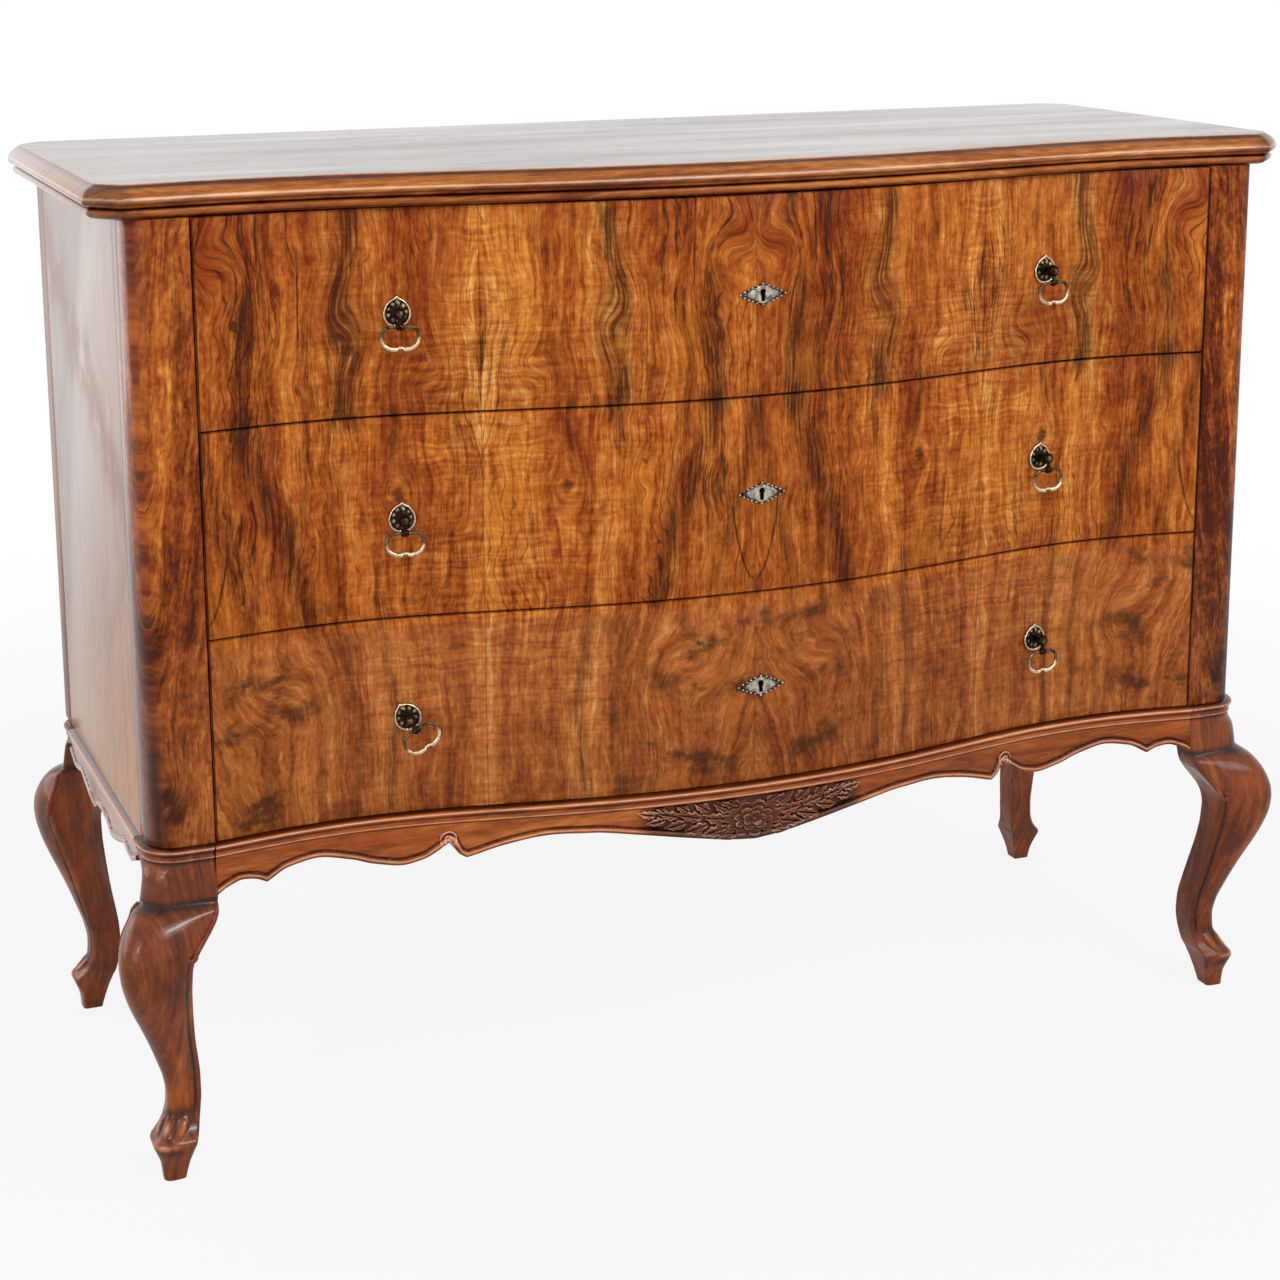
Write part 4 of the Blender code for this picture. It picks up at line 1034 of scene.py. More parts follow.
# Leaves to the right of the rose: distance from the rose, lift above it, turn, length, half width
spray_leaves = [
    (0.014, 0.015, 22, 0.030, 0.0060), (0.018, -0.013, -14, 0.026, 0.0054),
    (0.022, 0.010, 28, 0.026, 0.0062), (0.026, -0.006, -10, 0.030, 0.0056),
    (0.028, 0.002, 10, 0.026, 0.0056), (0.046, 0.012, 34, 0.022, 0.0050),
    (0.048, -0.001, -12, 0.026, 0.0050), (0.054, 0.006, 14, 0.026, 0.0052),
    (0.068, 0.014, 38, 0.020, 0.0046), (0.070, 0.004, -10, 0.024, 0.0046),
    (0.078, 0.010, 16, 0.024, 0.0046), (0.092, 0.016, 40, 0.016, 0.0038),
    (0.092, 0.009, -8, 0.020, 0.0038), (0.102, 0.014, 14, 0.020, 0.0038),
]
carved_half_width = 0.138
plain_from = 0.139
carved_steps = 380
plain_steps = 300
front_ground_rows = 50
side_ground_rows = 26
edge_samples = 2400
edge_search = 0.02
cusp_share = 0.566
curl_size = 0.0105
curl_pitch = 0.0044
curl_height = 0.0026
# Offsets round each point, for painted highlights on the carving's ridges and painted shade in its hollows
hollow_steps = [(0.0013 * dx, 0.0013 * dz) for dx, dz in ((1, 0), (-1, 0), (0, 1), (0, -1))]


def base_overhang_at(height):
    """How far the base moulding, or the ground under it, stands out at a height."""
    drop = base_top - height
    share = np.where(drop >= base_mould_height, base_mould_shares[-1][1],
                     smooth(base_mould_shares, np.minimum(drop / base_mould_height, 1.0)))
    return base_overhang * share


def edge_height(edge_shares, half, along):
    """Height of an apron's lower edge at distances from its middle."""
    share = np.abs(along) / half
    height = np.zeros_like(share)
    for part in edge_shares:
        inside = (share >= part[0][0]) & (share <= part[-1][0] + 1e-9)
        height = np.where(inside, smooth(part, share), height)
    return base_top - height * apron_drop


def turned_about(x, z, middle_x, middle_z, turn):
    """Distances from a middle along a turned way and across it."""
    along = (x - middle_x) * cos(turn) + (z - middle_z) * sin(turn)
    side = -(x - middle_x) * sin(turn) + (z - middle_z) * cos(turn)
    return along, side


def petal(x, z, middle_x, middle_z, turn, long, wide, height):
    """Cupped petal: a raised oval that is highest along its far rim."""
    along, side = turned_about(x, z, middle_x, middle_z, turn)
    reach = np.sqrt((along / long) ** 2 + (side / wide) ** 2)
    cup = 0.62 + 0.38 * fade(-0.4, 0.85, along / long)
    return height * cup * (1 - fade(0.80, 1.05, reach))


def leaf(x, z, root_x, root_z, turn, length, width, height):
    """Pointed leaf with a sunk midrib and two sloping halves."""
    along, side = turned_about(x, z, root_x, root_z, turn)
    along, side = along / length, side / width
    inside = (along > 0) & (along < 1)
    shape = np.where(inside, np.sin(pi * np.clip(along, 0, 1) ** 0.8), 0)
    shape = shape * (1 + 0.16 * np.sin(along * 22))
    reach = np.abs(side) / np.maximum(shape, 1e-3)
    body = (1 - fade(0.72, 1.05, reach)) * (0.70 + 0.30 * np.clip(reach, 0, 1))
    rib = 1 - 0.55 * bell(side * width, 0, 0.0007)
    return np.where(inside, height * body * rib * (0.6 + 0.4 * np.sin(pi * np.clip(along, 0, 1))), 0)


def cusp_curl(x, z):
    """Small curl cut where the lower edge comes to its notch."""
    across = np.abs(x) - cusp_share * opening_half_width - 0.004
    up = z - (base_top - 0.515 * apron_drop) - 0.001
    reach = np.hypot(across, up)
    coil = np.cos(2 * pi * (reach / curl_pitch + np.arctan2(up, across) / (2 * pi)))
    return curl_height * np.clip(coil, 0, 1) ** 0.6 * (1 - fade(curl_size * 0.7, curl_size, reach))


def rose_carving(x, z):
    """Height of the carved rose, its two sprays and the curls above the apron's ground."""
    height = np.zeros_like(x)
    if abs(float(x[0] - rose_x)) > carve_reach:
        return cusp_curl(x, z)
    near = rose_x + (x - rose_x) / rose_stretch
    for count, reach, long, wide, tall, start in petal_rows:
        for index in range(count):
            turn = start + 2 * pi * index / count
            one = petal(near, z, rose_x + reach * cos(turn), rose_z + reach * sin(turn), turn, long, wide,
                        tall * (1 - 0.16 * (index % 2)))
            height = np.maximum(height, one)
    bud = np.hypot(near - rose_x, z - rose_z)
    height = np.maximum(height, bud_height * (1 - fade(0.0006, 0.0020, bud)))
    for sign in (1, -1):
        for root, lift, turn, length, width in spray_leaves:
            angle = radians(turn) if sign > 0 else pi - radians(turn)
            one = leaf(x, z, rose_x + sign * root, rose_z + lift, angle, length, width * leaf_spread,
                       leaf_height)
            height = np.maximum(height, one)
        stem_x = (x - rose_x) * sign
        stem_z = rose_z + 0.001 + 0.16 * np.clip(stem_x, 0, 0.12) - z
        stem = stem_height * (1 - fade(0.0006, 0.0018, np.abs(stem_z)))
        height = np.maximum(height, np.where((stem_x > 0.020) & (stem_x < 0.115), stem, 0))
    return np.maximum(height, cusp_curl(x, z))


def carve_bed(along, heights):
    """Where the ground around the carving is cut back, to take the carving's darker colours and painted
    shade.
    """
    return (1 - fade(0.104, 0.126, np.abs(along))) * np.ones_like(heights)


def apron_rings(places, half, edge_shares, place_on, carve, rows):
    """Sections of an apron from end to end: moulding, ground, bead on the lower edge, back."""
    places = np.array(places)
    low = edge_height(edge_shares, half, places)
    line_along = np.linspace(places[0], places[-1], edge_samples)
    line_height = edge_height(edge_shares, half, line_along)
    mould_drops = np.linspace(0, 1, mould_rows)
    mould = base_top - base_mould_height * mould_drops
    top = mould[-1]
    ground = np.linspace(0, 1, rows + 1)[1:]
    ground = 1 - (1 - ground) ** 1.25
    rings, wear_and_painted_light, carved = [], [], []
    for along, floor in zip(places, low):
        heights = np.concatenate([mould, top - ground * (top - floor)])
        near = np.abs(line_along - along) < edge_search
        gap = np.sqrt((line_along[near][None, :] - along) ** 2
                      + (line_height[near][None, :] - heights[:, None]) ** 2).min(1)
        bead_share = (gap - bead_radius) / bead_radius
        bead = bead_height * np.sqrt(np.clip(1 - bead_share**2, 0, 1))
        bead = np.where(heights > top, 0, bead * fade(0, 0.003, top - heights))
        quirk = -quirk_depth * bell(gap, quirk_place, quirk_width) * (heights < top - 0.001)
        out = base_overhang_at(heights) + bead + quirk
        # Painted highlight along the bead's crest, painted shade in the quirk beside it
        rub_and_sheen = bell(bead_share, 0.15, 0.40) * (bead > 0) * 1.05 - 0.30 * (bead > 0) + quirk * 1200
        rub_and_sheen[:mould_rows] = lined(base_mould_light_lines, mould_drops)
        bed = np.zeros_like(heights)
        if carve is not None:
            cut = carve(np.full_like(heights, along), heights) * fade(0.0004, 0.0022, top - heights)
            around = sum(carve(np.full_like(heights, along + dx), heights + dz)
                         for dx, dz in hollow_steps) / len(hollow_steps)
            bed = carve_bed(along, heights) * (heights < top - 0.0005)
            raised = base_overhang_at(heights) + cut - carve_depth * bed
            sunk = out - carve_depth * bed * (bead <= 0)
            out = np.where(cut > 0.0001, np.maximum(sunk, raised), sunk)
            # Painted highlights on the carving's ridges, painted shade in its hollows and on its cut-back
            # ground
            rub_and_sheen = rub_and_sheen + np.where(cut > 0.0001, (cut - around) * 1700 - 0.14, -0.34 * bed)
        back = [place_on(along, -apron_thickness, height) for height in (floor, base_top)]
        rings.append([place_on(along, value, height) for value, height in zip(out, heights)] + back)
        wear_and_painted_light.append(list(np.clip(rub_and_sheen, -1, 1.1)) + [0.0, 0.0])
        carved.append(list(bed) + [0.0, 0.0])
    return rings, wear_and_painted_light, carved


def make_aprons():
    half = opening_half_width + block_seam_shift - fit_gap

    def front_place(x, out, height):
        return (float(x), float(serpentine(x)) - out - plan_shift, float(height))

    fine = spread(-carved_half_width, carved_half_width, carved_steps)
    right = spread(plain_from, half, plain_steps)
    places = [-value for value in reversed(right)] + fine + right
    rings, wear_and_painted_light, carved = apron_rings(places, opening_half_width, front_edge_shares, front_place,
                                      rose_carving, front_ground_rows)
    adopt("carved_front_apron", ring_solid("carved_front_apron", rings, 50, wear_and_painted_light, carved),
          "carcase", "solid_walnut", apron_walnut, "front_apron")
    middle = case_depth / 2 - plan_shift
    side_half = case_depth / 2 + base_overhang - block_depth
    for side, sign in (("left", -1), ("right", 1)):

        def side_place(along, out, height, sign=sign):
            reach = case_half_width + (out if out > -apron_thickness else -side_panel_thickness)
            return (sign * reach, middle + float(along), float(height))

        places = spread(-side_half + fit_gap, side_half - fit_gap, plain_steps)
        rings, wear_and_painted_light, _ = apron_rings(places, side_half, side_edge_shares, side_place, None, side_ground_rows)
        name = f"beaded_side_apron_{side}"
        adopt(name, ring_solid(name, rings, 50, wear_and_painted_light), "carcase", "solid_walnut",
              side_apron_walnut, f"side_apron_{side}")


# Legs

leg_face_steps = 22
leg_arc_steps = 34
leg_ring_count = 110
toe_places = (-0.0132, 0.0, 0.0132)
toe_half_width = 0.0050
# Painted highlights on the crests of the first two toes
toe_highlight_width = 0.0020
toe_height_share = 0.184
toe_swell = 0.0034
# Painted highlight in a band down the leg's front corner, partly rubbing
sheen_band_place = 0.015
sheen_band_width = 0.0065
groove_from_edge = 0.0042
groove_width = 0.0011
groove_depth = 0.0010
knee_bead_radius = 0.0026
knee_bead_top_share = 0.988
knee_bead_foot_share = 0.835
knee_bead_length_share = 0.153
knee_bead_steps = 26
knee_bead_inset = 0.0022
knee_curl_radius = 0.0052
knee_curl_turn = 2 * pi * 0.85


def leg_section(out_x, out_y, in_x, in_y, radius, slant, chamfer):
    """Square section with a round outer corner and close points along its two outer faces."""
    ease = leg_edge_round
    arc = [(out_x - radius + radius * cos(turn), out_y - radius + radius * sin(turn))
           for turn in spread(0, pi / 2, leg_arc_steps)]
    shares = spread(0, 1, leg_face_steps + 2)[1:-1]
    end_y = (in_x + ease, out_y - slant)
    end_x = (out_x - slant, in_y + ease)
    face_y = [(arc[-1][0] + (end_y[0] - arc[-1][0]) * t, out_y - slant * t * t) for t in shares]
    face_x = [(out_x - slant * t * t, arc[0][1] + (end_x[1] - arc[0][1]) * t) for t in reversed(shares)]
    inner = [(in_x, out_y - slant - ease), (in_x, in_y + chamfer), (in_x + chamfer, in_y),
             (out_x - slant - ease, in_y)]
    return arc + face_y + [end_y] + inner + [end_x] + face_x


def leg_walk(plan, radius):
    """For each point of a leg's section: its way outwards, its place round the corner, and its edge's."""
    walk = []
    count = len(plan)
    arc_half = radius * pi / 4
    last_y = leg_arc_steps + leg_face_steps
    first_x = count - leg_face_steps - 1
    for index, (x, y) in enumerate(plan):
        if index < leg_arc_steps:
            turn = pi / 2 * index / (leg_arc_steps - 1)
            walk.append((cos(turn), sin(turn), (turn - pi / 4) * radius, 1.0))
        elif index <= last_y:
            walk.append((0.0, 1.0, arc_half + abs(x - plan[leg_arc_steps - 1][0]), abs(x - plan[last_y][0])))
        elif index >= first_x:
            walk.append((1.0, 0.0, -arc_half - abs(y - plan[0][1]), abs(y - plan[first_x][1])))
        else:
            walk.append((0.0, 0.0, 1.0, 1.0))
    return walk


def leg_relief(share, walk):
    """Three toes over the foot's nose and a groove beside each inner edge: swell, and a level of painted
    highlight and shade, per point.
    """
    rise = bell(share, toe_height_share, 0.028, 4)
    groove_fade = float(fade(0.20, 0.26, share)) * float(1 - fade(0.80, 0.86, share))
    above = -0.55 * bell(share, 0.222, 0.022)
    nose = 0.75 * bell(share, 0.133, 0.009) - 0.45 * bell(share, 0.108, 0.012)
    under = -0.85 * bell(share, 0.995, 0.012)
    cap = 0.10 * bell(share, 0.86, 0.08)
    swells, leg_levels = [], []
    for _, _, place, edge in walk:
        toe = sum(bell(place, at, toe_half_width, 4) for at in toe_places)
        toe_highlight = sum(bell(place, at, toe_highlight_width) for at in toe_places[:2])
        foot = float(bell(place, 0, 0.022, 4))
        groove = bell(edge, groove_from_edge, groove_width) * groove_fade
        band = bell(abs(place), sheen_band_place, sheen_band_width) * 0.24
        band = band * float(1 - fade(0.78, 0.90, share)) * float(fade(0.23, 0.29, share))
        swells.append(float(toe_swell * toe * rise - groove_depth * groove))
        # Point level: darker above the toes, a lighter knee; painted shade between the toes, in the grooves,
        # under the foot's lip and in the crease under the block; painted highlights on the toes, their
        # crests, the lip and the corner band
        gap = (-0.60 * rise + above) * foot
        leg_levels.append(float(gap + nose * foot + under + cap + band - 0.9 * groove
                           + rise * (toe * 0.85 + toe_highlight * rise * 0.55)))
    return swells, leg_levels


leg_columns = [[(row[0], row[index]) for row in leg_profile_shares] for index in range(1, 6)]


def leg_sizes(share):
    """Sizes of the leg's section at a share of its height: out, in along X and Y, slant, chamfer."""
    return [float(smooth(column, share)) * knee_reach for column in leg_columns]


def knee_bead(edge):
    """Bead down the inner edge of the knee that ends in a curl: section places and swell."""
    path, swell = [], []
    for share in spread(knee_bead_top_share, knee_bead_foot_share, knee_bead_steps):
        out, in_x, in_y, slant, _ = leg_sizes(share)
        inner = (in_x if edge == "face" else in_y) + knee_bead_inset
        outer = out - slant + 0.0002
        height = share * leg_height
        path.append((inner, outer, height))
        swell.append(0.75 + 0.35 * (knee_bead_top_share - share) / knee_bead_length_share)
    for turn in spread(0, knee_curl_turn, knee_bead_steps)[1:]:
        reach = knee_curl_radius * (1 - 0.62 * turn / knee_curl_turn)
        path.append((inner + knee_curl_radius - reach * cos(turn), outer + 0.0008,
                     height - reach * sin(turn)))
        swell.append(1.1 - 0.35 * turn / (2 * pi))
    if edge == "flank":
        path = [(outer, inner, height) for inner, outer, height in path]
    return path, swell


def leg_sections(behind):
    """Sections of a leg and its corner block from the floor up: height, outline, corner radius."""
    sections = []
    for share in spread(0, leg_profile_shares[-1][0], leg_ring_count):
        out, in_x, in_y, slant, chamfer = leg_sizes(share)
        radius = min(leg_round_share * (out - in_x), leg_round_limit)
        plan = leg_section(out, out, in_x, in_y, radius, slant, max(chamfer, leg_edge_round / 2))
        sections.append((share * leg_height, plan, radius))
    rise = base_top - base_mould_height - leg_height
    base_flare = float(base_overhang_at(leg_height))
    steps = []
    for height_share in spread(0, block_cove_shares[-1][0], 12):
        depth_share = float(smooth(block_cove_shares, height_share))
        height = leg_height + height_share * block_height
        flare = block_flare + (base_flare - block_flare) * min(1.0, (height - leg_height) / rise)
        steps.append((height, flare, foot_inset - depth_share * block_depth))
    for share in reversed(spread(0, 1, mould_rows)):
        height = base_top - share * base_mould_height
        steps.append((height, float(base_overhang_at(height)), foot_inset - block_depth))
    block_in_x = foot_inset - (case_half_width + base_overhang - opening_half_width - block_seam_shift)
    for height, overhang, in_y in steps:
        out_x = foot_inset - base_overhang + overhang
        out_y = foot_inset - base_overhang + (0 if behind else overhang)
        corner = min(post_radius + (0 if behind else overhang), out_y - in_y - 2 * leg_edge_round)
        plan = leg_section(out_x, out_y, block_in_x, in_y, corner, 0.0, leg_edge_round / 2)
        sections.append((height, plan, corner))
    return sections


def make_leg(side, sign_x, end, sign_y):
    """One leg with its corner block, and the beads on its knee."""
    behind = sign_y > 0
    foot_x = case_half_width + base_overhang - foot_inset
    foot_y = (case_depth + base_overhang - foot_inset if behind else foot_inset - base_overhang)
    rings, wear_and_painted_light = [], []
    for height, plan, radius in leg_sections(behind):
        walk = leg_walk(plan, radius)
        swells, leg_levels = leg_relief(height / leg_height, walk)
        rings.append([(sign_x * (foot_x + u + swell * way[0]),
                       foot_y + sign_y * (v + swell * way[1]) - plan_shift, height)
                      for (u, v), swell, way in zip(plan, swells, walk)])
        line = float(lined(base_mould_light_lines, (base_top - height) / base_mould_height))
        wear_and_painted_light.append([level + line for level in leg_levels])
    name = f"cabriole_leg_{end}_{side}"
    adopt(name, ring_solid(name, rings, 40, wear_and_painted_light), "carcase", "solid_walnut", leg_walnut,
          f"{end}_leg_{side}")
    for edge in ("flank",) if behind else ("face", "flank"):
        path, swell = knee_bead(edge)
        placed = [(sign_x * (foot_x + u), foot_y + sign_y * v - plan_shift, z) for u, v, z in path]
        name = f"knee_bead_{end}_{side}_{edge}"
        bead = wire_along(name, placed, swell, knee_bead_radius, False)
        adopt(name, bead, "carcase", "solid_walnut", leg_walnut)


def make_legs():
    for side, sign_x in (("left", -1), ("right", 1)):
        for end, sign_y in (("front", -1), ("back", 1)):
            make_leg(side, sign_x, end, sign_y)


# Pieces that keep the solids' shape


def make_case():
    """Posts, panels, rails, boards and drawers, each as its solid with eased edges."""
    for side in ("left", "right"):
        eased_copy(f"front_post_{side}", post_finishes[side], "carcase", "figured_veneer")
        eased_copy(f"side_panel_{side}", side_veneer, "carcase", "figured_veneer", 0.0004)
        eased_copy(f"rear_post_{side}", leg_walnut, "carcase", "solid_walnut")
    for name in ("bottom_rail", "lower_rail", "upper_rail", "top_rail", "back_apron"):
        eased_copy(name, rail_shade_walnut, "carcase", "solid_walnut")
    for name in ("bottom_dust_board", "lower_dust_board", "upper_dust_board", "back_panel"):
        eased_copy(name, poplar, "carcase", "plain_poplar")
    for name in drawer_names:
        body = f"{name}_drawer"
        eased_copy(f"{name}_drawer_front", veneer, body, "figured_veneer", 0.0005)
        for part in ("side_left", "side_right", "back", "bottom"):
            wood = side_poplar if part.startswith("side") else poplar
            eased_copy(f"{name}_drawer_{part}", wood, body, "plain_poplar")
        eased_copy(f"{name}_lock_case", iron, body, "lock_iron", 0.0004)
        eased_copy(f"{name}_lock_bolt", iron, f"{name}_lock_bolt", "lock_iron", 0.0003)


# Pulls, keyhole plates, nails and screws

turned_tip = 0.00004
plate_steps = 60
ring_steps = 75
eye_bore_gap = 0.0003
drop_radius = 0.0018
row_middles = {name: case_bottom + row * row_pitch + row_pitch / 2 for row, name in enumerate(drawer_names)}
plate_ring_shares = [1.0, 0.985, 0.95, 0.91, 0.87, 0.83, 0.79, 0.75, 0.70, 0.64, 0.58, 0.52, 0.46, 0.40,
                     0.34, 0.28, 0.20, 0.10, 0.004]


def pull_place(sign, height, lean):
    """Frame of a pull on the drawer's face: X along it, Y into the drawer."""
    x = sign * pull_half_spacing
    step = fit_gap
    slope = float(serpentine(x + step) - serpentine(x - step)) / (2 * step)
    place = Matrix.Translation((x, float(serpentine(x)) - plan_shift, height))
    return place @ Matrix.Rotation(atan(slope), 4, "Z") @ Matrix.Rotation(lean, 4, "Y")


def turned(name, profile, steps, flutes=0):
    """Turned solid on the Z axis from (radius, height) rows, first row on top. Some add a flute depth."""
    rings = []
    for radius, height, *flute in profile:
        radius = max(radius, turned_tip)
        depth = flute[0] if flute else 0.0
        ring = []
        for turn in spread(0, 2 * pi, steps + 1)[:-1]:
            reach = radius * (1 + depth * cos(flutes * turn))
            ring.append((reach * cos(turn), reach * sin(turn), height))
        rings.append(ring)
    return ring_solid(name, rings, 50)


def joined(name, meshes, material):
    """One mesh of several, with their wear kept."""
    work = bmesh.new()
    for mesh in meshes:
        if "wear_and_painted_light" not in mesh.attributes:
            worn(mesh, 0.0)
        work.from_mesh(mesh)
    result = bpy.data.meshes.new(name)
    work.to_mesh(result)
    work.free()
    result.materials.append(material)
    return result


def through(rows, part, at):
    """Smooth curve through one part of each row, at places counted in rows."""
    return smooth([(place, row[part]) for place, row in enumerate(rows)], at)


def plate_outline():
    """Shield outline of a pull plate as an array of (x, z)."""
    at = np.linspace(0, len(plate_outline_shares) - 1, plate_steps)
    x = through(plate_outline_shares, 0, at) * plate_width
    z = through(plate_outline_shares, 1, at) * plate_height + 0.0005
    right = np.stack([x, z], 1)
    left = right[1:-1][::-1] * (-1, 1)
    return np.concatenate([right, left])


def plate_mesh(phase):
    """Shield plate: raised rim worn through in places, sunk ground, petals round the knob, a leaf above."""
    outline = plate_outline()
    face = -plate_gap - plate_thickness
    count = len(outline)
    turns = np.arctan2(outline[:, 1], outline[:, 0])
    along = np.arange(count) / count
    patchy = 0.5 + 0.5 * np.cos(2 * turns + phase) * np.cos(turns - phase * 1.7)
    broken = (0.45 + 0.55 * np.abs(np.cos(along * pi * 15)) ** 0.5) * (0.35 + 0.75 * patchy)
    rings = [[(x, -plate_gap, z) for x, z in outline]]
    wear_and_painted_light = [[0.0] * count]
    for share in plate_ring_shares:
        x, z = outline[:, 0] * share, outline[:, 1] * share
        rim = np.clip(1 - ((share - 0.905) / 0.075) ** 2, 0, 1) ** 0.5
        petals = bell(np.hypot(x, z), 0.0078, 0.0022) * (0.5 + 0.5 * np.cos(turns * 9))
        tip = np.exp(-((x / 0.0016) ** 2) - (((z - 0.0105) / 0.0030) ** 2))
        raised = rim * broken * 0.0010 + petals * 0.0006 + tip * 0.0008
        sunk = -0.0004 * (share < 0.82)
        edge = -0.0006 * (share > 0.995)
        depth = face - raised - sunk - edge
        rings.append([(float(a), float(b), float(c)) for a, b, c in zip(x, depth, z)])
        wear_and_painted_light.append(list(rim * broken * 0.95 + petals * 0.85 + tip * 0.6 - 0.58 * (share < 0.84) + 0 * x))
    return ring_solid("plate", rings, 60, wear_and_painted_light)


def knob_mesh():
    """Fluted knob on its neck, the collar, the stud through the front and a nut behind it."""
    neck_turn = asin(neck_radius / ball_radius)
    ball_top = ball_reach + ball_radius
    profile = [(0.0, ball_top + 0.0004), (0.0012, ball_top + 0.0002)]
    for turn in spread(0.30, pi - neck_turn, 16):
        flute = 0.075 * sin(turn) ** 2
        profile.append((ball_radius * sin(turn), ball_reach + ball_radius * cos(turn), flute))
    collar_top = plate_gap + plate_thickness + collar_thickness
    nut_top = -front_thickness - nut_gap
    nut_foot = nut_top - nut_thickness
    profile += [(neck_radius * 0.86, collar_top + 0.0016), (neck_radius, collar_top + fit_gap),
                (collar_radius * 0.8, collar_top), (collar_radius, collar_top - 0.0006, 0.03),
                (collar_radius, plate_gap + plate_thickness / 2, 0.03), (stud_radius, plate_gap),
                (stud_radius, nut_top)]
    nut = [(0.0, nut_top), (nut_radius, nut_top), (nut_radius, nut_foot), (0.0, nut_foot)]
    thread = [(0.0, nut_foot + 0.0002), (stud_radius, nut_foot + 0.0002),
              (stud_radius, nut_foot - stud_end * 0.8), (stud_radius * 0.7, nut_foot - stud_end),
              (0.0, nut_foot - stud_end)]
    parts = [turned("knob", profile, 48, 8), turned("nut", nut, 6), turned("stud_tip", thread, 16)]
    for part, level in zip(parts, (-0.75, -0.3, -0.3)):
        part.transform(Matrix.Rotation(pi / 2, 4, "X"))
        places = np.zeros(len(part.vertices) * 3)
        part.vertices.foreach_get("co", places)
        store_point_values(part, level + bell(places[1::3] + ball_reach + ball_radius, 0, 0.0012) * 0.45)
    return parts


def eye_mesh():
    """Barrel eye with its bore across, hung from the knob on a short stem."""
    bore = ring_wire + eye_bore_gap
    half = eye_half_length
    section = [(bore, -half), (eye_radius * 0.72, -half), (eye_radius * 0.95, -half * 0.6), (eye_radius, 0),
               (eye_radius * 0.95, half * 0.6), (eye_radius * 0.72, half), (bore, half)]
    rings = [[(along, radius * cos(turn), radius * sin(turn)) for radius, along in section]
             for turn in spread(0, 2 * pi, 25)[:-1]]
    barrel = ring_solid("barrel", rings, 50, loop=True)
    stem_foot = eye_radius * 0.8
    stem = turned("stem", [(0.0, eye_drop), (stem_radius, eye_drop), (stem_radius * 0.8, eye_drop / 2),
                           (stem_radius, stem_foot), (0.0, stem_foot)], 20)
    return [worn(barrel, -0.55), worn(stem, -0.55)]


def ring_path():
    """Drop ring's centre line and thickness, as (x, z, swell), round the whole ring."""
    at = np.linspace(0, len(ring_outline_shares) - 1, ring_steps)
    x, z, swell = [through(ring_outline_shares, part, at) for part in range(3)]
    notch = 1 - 0.35 * bell(x, 0.12, 0.05) * (z < -0.5)
    right = np.stack([x * ring_half_width, z * ring_drop, swell * notch], 1)
    left = right[::-1] * (-1, 1, 1)
    return np.concatenate([right, left])


def make_pull(name, side, sign, phase):
    """One pull with its ring. The phase sets where its plate is rubbed."""
    place = pull_place(sign, row_middles[name], pull_turn.get((name, side), 0))
    hinge = place @ Matrix.Translation((0, -eye_reach, -eye_drop))
    parts = [plate_mesh(phase)] + knob_mesh()
    eye = eye_mesh()
    for part in parts:
        part.transform(place)
    for part in eye:
        part.transform(hinge)
    mount = joined(f"{name}_pull_{side}", parts + eye, brass)
    adopt(f"{name}_pull_{side}", mount, f"{name}_drawer", "old_brass", brass, f"{name}_pull_mount_{side}")
    path = ring_path()
    points = [hinge @ Vector((x, 0, z)) for x, z in path[:, :2]]
    wire = wire_along(f"{name}_drop_ring_{side}", points, path[:, 2], ring_wire, True)
    heights = np.array([(hinge.inverted() @ vertex.co).z for vertex in wire.vertices])
    store_point_values(wire, fade(-0.004, -0.017, heights) * 0.60 - 0.24)
    drop = turned("drop", [(0.0, drop_radius), (0.0012, 0.0013), (drop_radius, 0.0), (0.0012, -0.0013),
                           (0.0, -drop_radius)], 14)
    drop.transform(hinge @ Matrix.Translation((0, 0, ring_outline_shares[-1][1] * ring_drop)))
    body = f"{name}_ring_{side}"
    ring = joined(body, [wire, worn(drop, 0.4)], brass)
    adopt(f"{name}_drop_ring_{side}", ring, body, "old_brass", brass, body)


def make_pulls():
    for row, name in enumerate(drawer_names):
        for side, sign in (("left", -1), ("right", 1)):
            make_pull(name, side, sign, 0.4 + 2.1 * row + 0.9 * sign)


def keyhole_reach(turn):
    """How far the keyhole's edge is from its middle, at a turn from +X."""
    across, up = cos(turn), sin(turn)
    reach = np.linspace(0, 0.012, 1200)
    x, z = reach * across, reach * up
    inside = (np.hypot(x, z - key_eye_lift) < key_eye_radius) | \
        ((np.abs(x) < key_slot_half_width) & (z < key_eye_lift) & (z > -key_slot_drop))
    return float(reach[np.argmin(inside)])


def escutcheon_reach(turn, lobes=0.0008):
    """Point on a key plate's rim at a turn from +X, with small lobes."""
    across, up = cos(turn), sin(turn)
    reach = 1 / (abs(across) ** 1.15 + abs(up) ** 1.15) ** (1 / 1.15)
    lobe = lobes * (0.5 - 0.5 * cos(20 * turn))
    return across * (reach * escutcheon_half_width - lobe), up * (reach * escutcheon_half_height - lobe)


